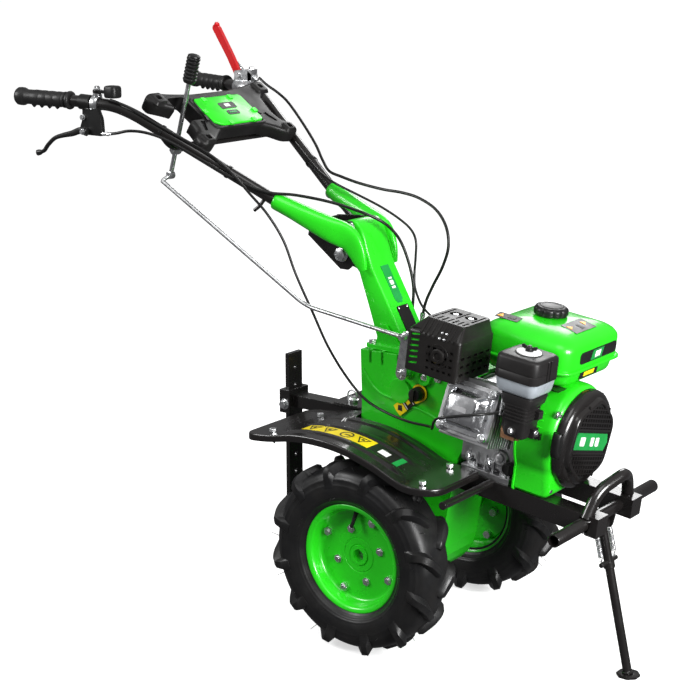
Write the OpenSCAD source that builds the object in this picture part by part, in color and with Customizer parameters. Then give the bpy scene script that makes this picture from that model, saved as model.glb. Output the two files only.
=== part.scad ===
// Two-wheel walk-behind cultivator. Millimetres, +X forward, +Y to the operator's left, +Z up.
// The origin is on the ground under the middle of the machine's bounding box.

/* [Wheels] */
// Outside radius of the tyre over its lugs
tyre_r = 203; // [195:1:210]
// Distance of each wheel's middle plane from the centre line
wheel_y = 210; // [205:1:216]
// Half the width of the tyre
tyre_half_w = 52; // [48:1:54]
// Lugs on each side of a tyre
lug_count = 12; // [10:1:18]
// Radius of the rim's flange
rim_r = 114.5; // [112:0.5:116]

/* [Engine and gearbox] */
// Nose-down lean of the engine, gearbox and rails, in degrees
lean = 7; // [4:0.5:8]
// Height of the crankshaft over the axle, square to the rails
crank_h = 307; // [305:1:310]
// Height of the rails' top over the axle, square to the rails
rail_top = 197; // [194:1:199]
// Half the width of the gearbox
case_half_w = 66; // [64:1:70]

/* [Handlebar] */
// Outside diameter of the handlebar tubes
tube_d = 25; // [24:0.5:26]
// Half the width of the handlebar at the ends of the grips
grip_y = 279; // [270:1:285]
// Length of a grip
grip_len = 132; // [125:1:136]
// Slope of the console, in degrees
console_slope = 35; // [32:1:37]

/* [Frame] */
// Half the distance between the outer faces of the two rails
rail_y = 90; // [88:1:92]
// Distance of the stand's foot in front of the axle
foot_x = 501; // [495:1:505]
// Distance between holes along the depth bar
hole_pitch = 40; // [38:1:42]

/* [Hidden] */
$fn = 48;

// Places in the axle frame: X from the axle, Y from the centre line, Z from the ground.
axle_x = 181.3;
steel = 3;
nut_colour = [0.75, 0.76, 0.78];
green = [0.30, 0.85, 0.10];
black = [0.10, 0.10, 0.10];
dark = [0.16, 0.16, 0.16];
cast = [0.66, 0.67, 0.68];

// Gear train: final gear on the axle, idler, then the pinion of the main shaft.
gear_module = 4;
final_teeth = 40;
idler_teeth = 50;
pinion_teeth = 16;
gear_y0 = -44;
gear_w = 18;
final_r = gear_module * final_teeth / 2;
idler_r = gear_module * idler_teeth / 2;
pinion_r = gear_module * pinion_teeth / 2;
main_x = -45;
main_d = norm([main_x, crank_h]);
main_dir = atan2(crank_h, main_x);
final_to_idler = final_r + idler_r;
idler_to_main = idler_r + pinion_r;
idler_bend = acos((pow(final_to_idler, 2) + pow(main_d, 2) - pow(idler_to_main, 2))
    / (2 * final_to_idler * main_d));
idler_dir = main_dir - idler_bend;
idler_at = final_to_idler * [cos(idler_dir), sin(idler_dir)];
pinion_dir = atan2(crank_h - idler_at[1], main_x - idler_at[0]);
final_phase = idler_dir;
idler_phase = idler_dir + 180 - 180 / idler_teeth;
mesh_share = (pinion_dir - idler_phase) * idler_teeth / 360;
pinion_phase = pinion_dir + 180 + (mesh_share - floor(mesh_share) - 0.5) * 360 / pinion_teeth;
main_bore = 10;

// Handlebar and linkage places.
tilt_at = [-172, 775];
shift_y = -116;
lever_pivot = [-571, 968];
lever_low = [-588, 912];
lever_high = [-514, 1161];
arm_pivot = [12, 557];
arm_top = [22, 637];
console_at = [-455, 998];
tube_path = [[-215, 66, 826], [-304, 95, 877], [-600, 213, 1051], [-642, 228, 1067],
    [-742, 251, 1074], [-874, grip_y, 1078]];

// Stand and hitch places.
stand_at = [430, 302];
bumper_at = [436, 327];
bar_x = -343;
bar_top = 530;
bar_bottom = 97;
first_hole = 497;
hitch_x = -180;
hitch_z = 424;

// ---- helpers ----

module machine() { translate([axle_x, 0, 0]) children(); }

module leaning() { translate([axle_x, 0, tyre_r]) rotate([0, lean, 0]) children(); }

// A round bar of radius r between points a and b.
module bar(a, b, r) {
    v = b - a;
    translate(a) rotate([0, acos(v[2] / norm(v)), atan2(v[1], v[0])]) cylinder(r = r, h = norm(v));
}

// A round bar along a list of points, with a slightly fuller ball at every bend.
module bent_bar(points, r) {
    for (i = [1:len(points) - 1]) bar(points[i - 1], points[i], r);
    for (i = [1:1:len(points) - 2]) translate(points[i]) sphere(r = 1.012 * r);
}

// A tube along a list of points, hollow along its straight stretches.
module bent_tube(points, r, wall) {
    difference() {
        bent_bar(points, r);
        for (i = [1:len(points) - 1]) {
            a = points[i - 1];
            b = points[i];
            trim = (b - a) / norm(b - a) * wall * 2;
            bar(i == 1 ? a - trim : a + trim, i == len(points) - 1 ? b + trim : b - trim, r - wall);
        }
    }
}

// A round bar along Y through the point [x, z].
module cross_bar(x, z, r, y0, y1) { translate([x, y1, z]) rotate([90, 0, 0]) cylinder(r = r, h = y1 - y0); }

// A round bar along X through the point [y, z].
module long_bar(y, z, r, x0, x1) { translate([x0, y, z]) rotate([0, 90, 0]) cylinder(r = r, h = x1 - x0); }

// A plate: an outline in X and Z, from y0 to y1.
module plate(y0, y1) { translate([0, y1, 0]) rotate([90, 0, 0]) linear_extrude(y1 - y0) children(); }

// A box between two corners.
module block(a, b) { translate(a) cube(b - a); }

// A box with rounded vertical edges.
module soft_block(a, b, r) {
    translate([0, 0, a[2]]) linear_extrude(b[2] - a[2]) soft_rect([a[0], a[1]], [b[0], b[1]], r);
}

// A rectangle with rounded corners, from crossed squares and four discs.
module soft_rect(a, b, r) {
    translate([a[0] + r, a[1]]) square([b[0] - a[0] - 2 * r, b[1] - a[1]]);
    translate([a[0], a[1] + r]) square([b[0] - a[0], b[1] - a[1] - 2 * r]);
    for (x = [a[0] + r, b[0] - r], y = [a[1] + r, b[1] - r]) translate([x, y]) circle(r = r, $fn = 32);
}

// A hexagon bolt head along Y, across flats af.
module hex_y(x, z, af, y0, y1) {
    translate([x, y1, z]) rotate([90, 0, 0]) cylinder(d = af / cos(30), h = y1 - y0, $fn = 6);
}

// A hexagon bolt head along Z.
module hex_z(x, y, af, z0, z1) { translate([x, y, z0]) cylinder(d = af / cos(30), h = z1 - z0, $fn = 6); }

// The outline of a gear with straight-sided teeth.
module gear_outline(teeth, phase) {
    pitch = 360 / teeth;
    r = gear_module * teeth / 2;
    root = r - 1.2 * gear_module;
    tip = r + 0.9 * gear_module;
    half_root = 0.31 * pitch;
    half_tip = 0.13 * pitch;
    polygon([for (i = [0:teeth - 1], k = [0:3])
        let (a = phase + i * pitch + [-half_root, -half_tip, half_tip, half_root][k],
            q = (k == 0 || k == 3) ? root : tip)
        q * [cos(a), sin(a)]]);
}

// ---- wheels ----

// Half of a tyre's section, [distance from its middle plane, radius]: outside, then inside.
function tyre_section(w) = [[33.5, 103], [33.5, 115], [w - 8, 121], [w - 1, 134], [w, 150],
    [w - 3, 168], [w - 9, 181], [w - 19, 188], [w - 36, 191]];
function mirrored(list) = [for (i = [len(list) - 1:-1:0]) [-list[i][0], list[i][1]]];

module tyre(side) {
    outer = tyre_section(tyre_half_w);
    inner = [for (p = tyre_section(tyre_half_w)) [p[0] - 7, min(p[1], 184)]];
    color(black) machine() translate([0, side * wheel_y, tyre_r]) {
        rotate([90, 0, 0]) rotate_extrude($fn = 96) polygon([for (p = concat(outer, mirrored(outer),
            [for (q = inner) [-q[0], q[1]]], mirrored([for (q = inner) [-q[0], q[1]]]))) [p[1], p[0]]]);
        intersection() {
            rotate([90, 0, 0]) cylinder(r = tyre_r, h = 2 * tyre_half_w, center = true, $fn = 96);
            for (i = [0:lug_count - 1], s = [-1, 1])
                rotate([0, (i + (s + 1) / 4) * 360 / lug_count, 0])
                    translate([0, s * 25, -tyre_r + 9]) rotate([0, 0, s * 38])
                        cube([15, 58, 22], center = true);
        }
    }
}

// Radii of the two rings of bolts through a rim.
inner_bolts_r = 56;
outer_bolts_r = 84;
// Turn of the bolt pattern against the hexagon in the hub.
bolt_turn = -20;

// A wheel's own frame, with Z out along the axle.
module on_wheel(side) {
    translate([0, side * wheel_y, tyre_r]) rotate([side * 90, 0, 0]) mirror([0, 0, 1]) children();
}

module rim(side) {
    // Section from the inner flange to the outer one, [distance towards the outside, radius].
    y_out = 36;
    color(green) machine() on_wheel(side) {
        rotate_extrude($fn = 96) polygon([[101, -y_out], [98, -20], [94, -14], [94, 14], [98, 20],
            [101, y_out], [rim_r, y_out + 1], [rim_r, y_out - 2], [102.5, y_out - 2.4], [101, 22],
            [97, 16], [97, -16], [101, -22], [102.5, 2.4 - y_out], [rim_r, 2 - y_out],
            [rim_r, -y_out - 1]]);
        difference() {
            rotate_extrude($fn = 96) polygon([[20, 4], [40, 4], [44, 0], [68, 0], [74, 4], [95, 4],
                [95, 8], [72, 8], [66, 4], [46, 4], [42, 8], [20, 8]]);
            for (i = [0:3]) rotate([0, 0, i * 90 + bolt_turn]) {
                translate([inner_bolts_r, 0, -1]) cylinder(r = 5.2, h = 10);
                rotate([0, 0, 45]) translate([outer_bolts_r, 0, -1]) cylinder(r = 5.2, h = 14);
            }
        }
        difference() {
            translate([0, 0, -58]) cylinder(r = 22, h = 69);
            translate([0, 0, -59]) rotate([0, 0, 30]) cylinder(d = 23.4 / cos(30), h = 71, $fn = 6);
        }
    }
}

module wheel_nuts() {
    color(nut_colour) machine() for (side = [-1, 1]) on_wheel(side)
        for (i = [0:3]) rotate([0, 0, i * 90 + bolt_turn]) {
            translate([inner_bolts_r, 0, 0]) wheel_bolt(4);
            rotate([0, 0, 45]) translate([outer_bolts_r, 0, 0]) wheel_bolt(8);
        }
}

module wheel_bolt(face) {
    translate([0, 0, face]) cylinder(d = 16 / cos(30), h = 7, $fn = 6);
    translate([0, 0, face - 12]) cylinder(r = 5, h = 22);
    translate([0, 0, face - 13]) cylinder(d = 16 / cos(30), h = 8.9, $fn = 6);
}

module axle_shaft() {
    color(nut_colour) machine() {
        for (side = [-1, 1]) translate([0, side * 138, tyre_r]) rotate([90, 30, 0])
            cylinder(d = 23.2 / cos(30), h = 130, center = true, $fn = 6);
        cross_bar(0, tyre_r, 17, -76, 76);
    }
}

module gear_ring(at, teeth, phase, bore) {
    leaning() translate([at[0], 0, at[1]]) plate(gear_y0, gear_y0 + gear_w) difference() {
        gear_outline(teeth, phase);
        circle(r = bore);
    }
}

module final_gear() { color(nut_colour) gear_ring([0, 0], final_teeth, final_phase, 17); }

module idler_gear() {
    color(nut_colour) {
        gear_ring(idler_at, idler_teeth, idler_phase, 9);
        leaning() cross_bar(idler_at[0], idler_at[1], 10, -60, -44);
        leaning() cross_bar(idler_at[0], idler_at[1], 10, -45, 60);
    }
}

module main_shaft() {
    color(nut_colour) {
        gear_ring([main_x, crank_h], pinion_teeth, pinion_phase, 9);
        leaning() {
            cross_bar(main_x, crank_h, main_bore, -60, 60);
            translate([main_x, 13, crank_h]) rotate([-90, 0, 0]) cylinder(r1 = 25.4, r2 = 37.4, h = 6);
            cross_bar(main_x, crank_h, 30, 19, 32);
        }
    }
}

module input_shaft() {
    color(nut_colour) leaning() {
        translate([main_x + 25, 0, crank_h]) rotate([0, 90, 0]) cylinder(r1 = 11.9, r2 = 18.4, h = 13);
        long_bar(0, crank_h, 12, main_x + 38, 64);
        difference() {
            long_bar(0, crank_h, 58, 62, 104);
            long_bar(0, crank_h, 54, 68, 105);
        }
    }
}

// ---- gearbox ----

function arc(r, from, to, step) = [for (a = [from:step:to]) r * [cos(a), sin(a)]];

module case_outline(t) {
    polygon(concat([[-156 + t, 366 - t], [-47, 381 - t], [60, 380 - t], [118, 385 - t],
        [118, 226 + t], [110 - t, 205], [106 - t, 150], [100 - t, 60]],
        arc(98 - t, 0, -180, -15), [[-108 + t, 80], [-126 + t, 150], [-134 + t, 200], [-138 + t, 251]]));
}

module gearbox_half(side) {
    y0 = side > 0 ? 0 : -case_half_w;
    leaning() difference() {
        union() {
            plate(y0, y0 + case_half_w) case_outline(0);
            cross_bar(0, 0, 44, side > 0 ? 60 : -78, side > 0 ? 78 : -60);
            cross_bar(main_x, crank_h, 26, side > 0 ? 60 : -72, side > 0 ? 72 : -60);
            cross_bar(idler_at[0], idler_at[1], 24, side > 0 ? 60 : -72, side > 0 ? 72 : -60);
        }
        difference() {
            plate(-58, 58) case_outline(8);
            block([-160, -60, 346], [30, 60, 400]);
        }
        long_bar(0, crank_h, 60, 60, 119);
        cross_bar(0, 0, 31, -70, 70);
        cross_bar(0, 0, 17.05, -80, 80);
        cross_bar(main_x, crank_h, 18, -68, 68);
        cross_bar(idler_at[0], idler_at[1], 16, -68, 68);
        cross_bar(arm_e[0], arm_e[1], 6.05, -80, 0);
        cross_bar(plug_e[0], plug_e[1], 10.05, -80, 0);
    }
}

// The gear arm's shaft and the oil plug in the leaning frame.
arm_e = to_leaning(arm_pivot);
plug_e = [3, 316];
function to_leaning(p) = [p[0] * cos(lean) - (p[1] - tyre_r) * sin(lean),
    p[0] * sin(lean) + (p[1] - tyre_r) * cos(lean)];

module gearbox_case_left() { color(green) gearbox_half(1); }

module gearbox_case_right() { color(green) gearbox_half(-1); }

module ring_bearing(x, z, inner, outer, y0, y1) {
    difference() {
        cross_bar(x, z, outer, y0, y1);
        cross_bar(x, z, inner, y0 - 1, y1 + 1);
    }
}

module ball_bearings() {
    color(nut_colour) leaning() for (s = [-1, 1]) {
        ring_bearing(0, 0, 17.05, 31, s * 64 - 6, s * 64 + 6);
        ring_bearing(main_x, crank_h, 10.05, 18, s * 63 - 5, s * 63 + 5);
        ring_bearing(idler_at[0], idler_at[1], 10.05, 16, s * 63 - 5, s * 63 + 5);
    }
}

// ---- column, handlebar and console ----

column_side = [[-96, 590], [-88, 605], [-110, 670], [-137, 745], [-160, 752], [-190, 757],
    [-199, 776], [-192, 812], [-178, 836], [-160, 849], [-140, 848], [-128, 832], [-112, 785],
    [-99, 751], [-60, 684], [-22, 615], [-8, 590]];
column_hollow = [[-86, 580], [-79, 607], [-100, 668], [-125, 740], [-134, 800], [-126, 790],
    [-108, 749], [-69, 680], [-33, 613], [-22, 580]];
flange_bolts = [[-92, -49.6], [-92, 49.6], [-12, -49.6], [-12, 49.6]];

module handlebar_column() {
    color(green) machine() difference() {
        union() {
            plate(-41, 41) polygon(column_side);
            block([-106, -58, 587.2], [2, 58, 597]);
        }
        plate(-36, 36) polygon(column_hollow);
        cross_bar(tilt_at[0], tilt_at[1], 8.08, -45, 45);
        for (p = flange_bolts) translate([p[0], p[1], 580]) cylinder(r = 5.2, h = 20);
    }
}

module handlebar_arms() {
    color(green) machine() for (s = [-1, 1]) mirror([0, s > 0 ? 0 : 1, 0]) difference() {
        arm_raw();
        bar(tube_path[0], tube_path[1], tube_d / 2 + 0.3);
        bar(tube_path[1], tube_path[2], tube_d / 2 + 0.3);
        for (i = [0, 1]) translate(tube_path[i]) sphere(r = tube_d / 2 + 0.4);
    }
}

module arm_raw() {
    union() {
        hull() {
            cross_bar(-113, 757, 12, 48, 60, $fn = 32);
            cross_bar(-137, 803, 24, 48, 66, $fn = 32);
        }
        hull() {
            cross_bar(-137, 803, 24, 48, 66, $fn = 32);
            cross_bar(-182, 825, 27, 52, 84, $fn = 32);
        }
        hull() {
            cross_bar(-182, 825, 27, 52, 84, $fn = 32);
            translate([-304, 95, 877]) sphere(r = 18, $fn = 32);
        }
    }
}

module pivot_yoke() {
    color(dark) machine() {
        for (s = [-1, 1]) difference() {
            plate(s * 44.6 - 2.4, s * 44.6 + 2.4) polygon([[-263, 806], [-255, 838], [-150, 846],
                [-125, 800], [-133, 764], [-158, 743], [-178, 743]]);
            cross_bar(tilt_at[0], tilt_at[1], 8.02, -60, 60);
        }
        block([-258, -45, 812], [-251, 45, 836]);
    }
}

module pivot_bolt() {
    color(nut_colour) machine() {
        cross_bar(tilt_at[0], tilt_at[1], 8, -60, 56);
        hex_y(tilt_at[0], tilt_at[1], 24, -58, -49);
        hex_y(tilt_at[0], tilt_at[1], 24, 49, 58);
        cross_bar(tilt_at[0], tilt_at[1], 15, -49.5, -47);
        cross_bar(tilt_at[0], tilt_at[1], 15, 47, 49.5);
    }
}

module handlebar_tubes() {
    color(black) machine() {
        for (s = [-1, 1]) mirror([0, s > 0 ? 0 : 1, 0]) bent_tube(tube_path, tube_d / 2, 1.8);
        bent_bar([[-545, -190, 1012], [-535, -168, 980], [-535, 168, 980], [-545, 190, 1012]], 7);
        bar([-535, -100, 980], [-571, -100, 968], 6);
        cross_bar(lever_pivot[0], lever_pivot[1], 6, -128, -96);
    }
}

module hand_grips() {
    a = tube_path[4];
    b = tube_path[5];
    out = (b - a) / norm(b - a);
    inner = tube_d / 2 + 0.05;
    color(dark) machine() for (s = [-1, 1]) mirror([0, s > 0 ? 0 : 1, 0]) difference() {
        union() {
            bar(b - out * grip_len, b + out * 6, 16.5);
            bar(b - out * grip_len, b - out * (grip_len - 8), 20);
            bar(b - out * 8, b + out * 8, 18.5);
        }
        bar(b - out * (grip_len + 5), b, inner);
    }
}

// Console: X runs down the slope to the front, Z is square to its top.
console_half = [[-30, 0], [-30, 62], [-14, 92], [6, 118], [10, 148], [0, 160], [-22, 156],
    [-34, 136], [-62, 130], [-112, 142], [-126, 168], [-136, 190], [-158, 190], [-168, 172],
    [-158, 120], [-150, 60], [-150, 0]];
slot_x = [-141, -66];
slot_y = [-142, -92];

module on_console() {
    translate([axle_x + console_at[0], 0, console_at[1]]) rotate([0, console_slope, 0]) children();
}

module console() {
    outline = concat(console_half, [for (i = [len(console_half) - 1:-1:0])
        [console_half[i][0], -console_half[i][1]]]);
    color(dark) difference() {
        tray(outline);
        machine() {
            for (s = [-1, 1]) mirror([0, s > 0 ? 0 : 1, 0]) bar(tube_path[1], tube_path[2], tube_d / 2 + 0.4);
            bent_bar([[-545, -190, 1012], [-535, -168, 980], [-535, 168, 980], [-545, 190, 1012]], 7.4);
        }
    }
}

module tray(outline) {
    on_console() difference() {
        union() {
            translate([0, 0, -6]) linear_extrude(6) polygon(outline);
            translate([0, 0, -34]) linear_extrude(30) difference() {
                polygon(outline);
                scale([0.94, 0.965]) translate([-4, 0]) polygon(outline);
            }
            for (s = [-1, 1]) translate([-80, s * 128, -20]) cube([60, 26, 28], center = true);
        }
        translate([slot_x[0], slot_y[0], -50]) cube([slot_x[1] - slot_x[0], slot_y[1] - slot_y[0], 60]);
        translate([-128, -78, -2]) cube([92, 156, 5]);
    }
}

module console_insert() {
    color(green) on_console() {
        translate([-127.5, -77.5, -1.9]) linear_extrude(7) difference() {
            polygon([[0, 6], [0, 149], [8, 155], [84, 155], [91, 148], [91, 24], [76, 0], [20, 0]]);
            translate([26, 48]) square([44, 66]);
        }
        translate([-101.5, -29.5, -1.9]) cube([44, 66, 3]);
    }
}

// ---- levers ----

module lever_brackets() {
    a = [-646, 229, 1067.4];
    b = [-724, 246.8, 1072.7];
    color(nut_colour) machine() {
        // Clutch lever bracket on the left tube.
        difference() {
            union() {
                bar(b + (a - b) * 0.28, b + (a - b) * 0.92, 17);
                translate([-698, 232, 1072]) cube([46, 22, 34]);
            }
            bar(a + (a - b), b - (a - b), tube_d / 2 + 0.25);
            translate([-720, 237.5, 1074]) cube([50, 11, 60]);
        }
        cross_bar(-690, 1096, 4, 231, 255);
        // Throttle clamp on the right tube.
        mirror([0, 1, 0]) difference() {
            bar([-676, 235.8, 1069.4], [-690, 239.2, 1070.5], 17);
            bar(a + (a - b), b - (a - b), tube_d / 2 + 0.25);
        }
        translate([-680, -237, 1085]) cylinder(r = 11, h = 6);
        translate([-680, -237, 1085]) cylinder(r = 4, h = 16);
    }
    // Reverse lever bracket under the right tube.
    color(black) machine() {
        difference() {
            union() {
                mirror([0, 1, 0]) bar([-694, 240.4, 1070.9], [-722, 246.4, 1072.7], 16);
                plate(-250, -240) polygon([[-712, 1062], [-714, 1036], [-722, 1018], [-722, 1003],
                    [-657, 1003], [-664, 1040], [-690, 1062]]);
            }
            mirror([0, 1, 0]) bar(a + (a - b), b - (a - b), tube_d / 2 + 0.25);
        }
        cross_bar(-704, 1011, 4, -264, -244);
        hex_y(-712, 1038, 10, -256, -249);
    }
}

module clutch_lever() {
    color([0.80, 0.03, 0.05]) machine() difference() {
        plate(238, 248) polygon([[-682, 1090], [-690, 1087], [-701, 1088], [-708, 1098], [-730, 1136],
            [-773, 1204], [-771, 1211], [-763, 1212], [-716, 1140], [-696, 1106], [-684, 1102]]);
        cross_bar(-690, 1096, 4.05, 230, 256);
    }
}

module reverse_lever() {
    color(black) machine() difference() {
        plate(-261, -251) polygon([[-693, 1003], [-693, 1018], [-722, 1020], [-743, 1009],
            [-791, 999], [-816, 986], [-831, 965], [-854, 959], [-860, 953], [-850, 947],
            [-824, 955], [-793, 976], [-744, 995]]);
        cross_bar(-704, 1011, 4.05, -270, -240);
    }
}

module throttle_lever() {
    color(black) machine() difference() {
        union() {
            translate([-680, -237, 1092]) cylinder(r = 10, h = 7);
            translate([-680, -243, 1092]) cube([36, 12, 7]);
            translate([0, 0, 1084]) linear_extrude(26) soft_rect([-650, -252], [-617, -222], 6);
        }
        translate([-680, -237, 1080]) cylinder(r = 4.05, h = 30);
    }
}

module shift_lever() {
    up = [lever_high[0] - lever_low[0], 0, lever_high[1] - lever_low[1]];
    u = up / norm(up);
    low = [lever_low[0], shift_y, lever_low[1]];
    high = [lever_high[0], shift_y, lever_high[1]];
    color(nut_colour) machine() difference() {
        union() {
            bar(low, high - u * 49, 5);
            cross_bar(lever_low[0], lever_low[1], 9, shift_y - 5.5, shift_y + 5.5);
            cross_bar(lever_pivot[0], lever_pivot[1], 11, shift_y - 8, shift_y + 8);
            bar(high - u * 50, high + u * 12, 15);
        }
        cross_bar(lever_pivot[0], lever_pivot[1], 6.06, shift_y - 20, shift_y + 20);
    }
}

module gear_arm() {
    color(nut_colour) machine() {
        difference() {
            plate(-94, -88) {
                translate(arm_pivot) circle(r = 13);
                translate(arm_top) circle(r = 9);
                polygon([arm_pivot + [-12, 2], arm_top + [-9, 0], arm_top + [9, 0], arm_pivot + [12, -2]]);
            }
            hull() for (k = [-0.1, 1.3])
                cross_bar(arm_top[0] + k * 0.124, arm_top[1] + k * 0.992, 4.3, -100, -80);
        }
        cross_bar(arm_pivot[0], arm_pivot[1], 6, -98, -52);
        hex_y(arm_pivot[0], arm_pivot[1], 13, -101, -94);
    }
}

module rod_end_pin() {
    color(nut_colour) machine() {
        cross_bar(arm_top[0], arm_top[1], 4, -112, -82);
        cross_bar(arm_top[0], arm_top[1], 7, -84.5, -82);
    }
}

module shift_rod() {
    eye = [arm_top[0], -103, arm_top[1]];
    bend = [-222, -108, 669];
    rear = [-598, -133, 900];
    front = eye + (bend - eye) / norm(bend - eye) * 6;
    color(nut_colour) machine() {
        difference() {
            union() {
                cross_bar(eye[0], eye[2], 8, -108, -98);
                bent_bar([front, bend, rear], 4.5);
            }
            cross_bar(eye[0], eye[2], 4.05, -115, -90);
        }
        cross_bar(rear[0] + 1, rear[2] + 1, 4, -134, -124);
    }
}

// ---- frame, bumper, stand and hitch ----

module box_rail(y0, y1) {
    difference() {
        block([113, y0, rail_top - 40], [449, y1, rail_top]);
        block([116, y0 + steel, rail_top - 40 + steel], [446, y1 - steel, rail_top - steel]);
    }
}

module frame_rails() {
    color(black) difference() {
        leaning() rails_raw();
        machine() {
            cross_bar(bumper_at[0], bumper_at[1], 13.05, -210, 210);
            for (s = [-1, 1]) bar([434, s * 99.6, 310.4], [450, s * 58, 384], 12.4);
        }
    }
}

module rails_raw() {
    difference() {
        union() {
            box_rail(rail_y - 40, rail_y);
            box_rail(-rail_y, 40 - rail_y);
            block([111.5, -rail_y, rail_top - 44], [119, rail_y, rail_top - 2]);
            for (s = [-1, 1]) {
                cross_bar(205, rail_top - 6, 8, s > 0 ? rail_y - 2 : -258, s > 0 ? 258 : 2 - rail_y);
            }
        }
        for (x = engine_bolts_x, s = [-1, 1]) translate([x, s * 70, rail_top - 10])
            cylinder(r = 5.05, h = 20);
    }
}

module front_bumper() {
    color(black) machine() {
        bent_tube([for (y = [-199, 199]) [bumper_at[0], y, bumper_at[1]]], 13, 2.5);
        difference() {
            bent_bar([[440, -84, 338], [450, -58, 384], [462, -28, 404], [470, 0, 409],
                [462, 28, 404], [450, 58, 384], [440, 84, 338]], 12);
            cross_bar(bumper_at[0], bumper_at[1], 12, -210, 210);
        }
        for (s = [-1, 1]) difference() {
            plate(s * 17 - 3, s * 17 + 3) {
                translate(stand_at) circle(r = 15);
                polygon([[415, 302], [445, 302], [452, 322], [420, 322]]);
            }
            cross_bar(stand_at[0], stand_at[1], 6.05, -30, 30);
            cross_bar(bumper_at[0], bumper_at[1], 12, -210, 210);
        }
    }
}

foot_thick = 5;
leg_dir = [foot_x - stand_at[0], 0, foot_thick - stand_at[1]];
spring_at = [for (k = [0, 2]) (k == 0 ? stand_at[0] : stand_at[1]) + 0.25 * leg_dir[k]];

module stand_leg() {
    low = [foot_x - 1, 0, 4];
    color(black) machine() {
        difference() {
            union() {
                cross_bar(stand_at[0], stand_at[1], 12, -13.4, 13.4);
                bar([stand_at[0], 0, stand_at[1]], low, 9);
                cross_bar(spring_at[0], spring_at[1], 5, -30, 30);
                bar([spring_at[0], 0, spring_at[1]], [spring_at[0] + 3, 0, spring_at[1] - 13], 12);
            }
            cross_bar(stand_at[0], stand_at[1], 6.05, -30, 30);
        }
        translate([foot_x, 0, 0]) rotate([0, 0, 22.5]) cylinder(r = 24, h = foot_thick, $fn = 8);
    }
}

module stand_springs() {
    color(nut_colour) machine() for (s = [-1, 1])
        bar([stand_at[0] + 2, s * 26, stand_at[1] - 7], [spring_at[0] - 2, s * 26, spring_at[1] + 6], 5);
}

module pivot_pins() {
    color(nut_colour) machine() {
        cross_bar(stand_at[0], stand_at[1], 6, -32, 30);
        hex_y(stand_at[0], stand_at[1], 18, -37, -31.4);
        translate([hitch_x, 0, hitch_z - 24]) cylinder(r = 8, h = 56);
        translate([hitch_x, 0, hitch_z + 20.7]) cylinder(r = 13, h = 5);
    }
}

module hitch_socket() {
    color(black) machine() difference() {
        union() {
            block([-117, -36, hitch_z - 40], [-109.2, 36, hitch_z + 34]);
            for (z = [hitch_z - 20.5, hitch_z + 14.5])
                block([-212, -26, z], [-110, 26, z + 6]);
        }
        translate([hitch_x, 0, hitch_z - 60]) cylinder(r = 8.05, h = 120);
    }
}

module drawbar() {
    color(black) machine() {
        difference() {
            union() {
                block([-329, -18, hitch_z - 13.5], [hitch_x + 17, 18, hitch_z + 13.5]);
                block([bar_x - 14, -33, hitch_z - 26], [bar_x + 14, 33, hitch_z + 26]);
            }
            translate([hitch_x, 0, hitch_z - 60]) cylinder(r = 8.06, h = 120);
            block([bar_x - 5.3, -23.3, hitch_z - 60], [bar_x + 5.3, 23.3, hitch_z + 60]);
            cross_bar(bar_x, hitch_z - 6, 4.5, -40, -20);
        }
        cross_bar(bar_x, hitch_z - 6, 4.5, -36, -23.6);
        hex_y(bar_x, hitch_z - 6, 16, -41, -33);
    }
}

module depth_bar() {
    color(black) machine() difference() {
        union() {
            block([bar_x - 5, -23, bar_bottom + 30], [bar_x + 5, 23, bar_top]);
            translate([bar_x + 5, 0, 0]) rotate([0, -90, 0]) linear_extrude(10)
                polygon([[bar_bottom, 0], [bar_bottom + 31, -23], [bar_bottom + 31, 23]]);
        }
        for (i = [0:9]) long_bar(0, first_hole - i * hole_pitch, 5, bar_x - 10, bar_x + 10);
    }
}

// ---- fenders ----

fender_top = [[-262, 424], [-200, 430], [-130, 443], [-62, 445], [0, 438], [60, 421], [108, 402],
    [136, 393], [207, 391]];
sheet = 2.5;

module fender() {
    low = [for (i = [len(fender_top) - 1:-1:0]) fender_top[i] - [0, sheet]];
    lip = [for (i = [len(fender_top) - 1:-1:0]) fender_top[i] - [0, 16]];
    intersection() {
        union() {
            plate(42, 264) polygon(concat(fender_top, low));
            plate(261.5, 264) polygon(concat(fender_top, lip));
            for (y = [125, 170, 215]) plate(y, y + 12) polygon(concat([[-170, 437 - 2], [-130, 446],
                [-62, 448.5], [0, 441.5], [60, 424.5], [108, 404]], [[108, 401], [60, 420], [0, 437],
                [-62, 444], [-130, 442], [-170, 434]]));
        }
        translate([0, 0, 350]) linear_extrude(120) difference() {
            union() {
                soft_rect([-262, 42], [-112, 264], 22);
                soft_rect([-150, 92], [207, 264], 22);
                translate([-150, 92]) square([150, 90]);
                translate([150, 92]) square([57, 40]);
            }
            for (p = fender_bolts) translate(p) circle(r = 4.2);
        }
    }
}

fender_bolts = [[-206, 238], [-190, 100], [166, 236], [150, 118]];

module fender_left() { color(black) machine() fender(); }

module fender_right() { color(black) machine() mirror([0, 1, 0]) fender(); }

// ---- engine ----

engine_bolts_x = [150, 226];
barrel_x = 188;
barrel_tilt = 73;

// The frame of the cylinder: Z runs from the crankshaft out through the head.
module on_barrel() { leaning() translate([barrel_x, 0, crank_h]) rotate([barrel_tilt, 0, 0]) children(); }

module yz_plate(x0, x1) { translate([x0, 0, 0]) rotate([90, 0, 90]) linear_extrude(x1 - x0) children(); }

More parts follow.
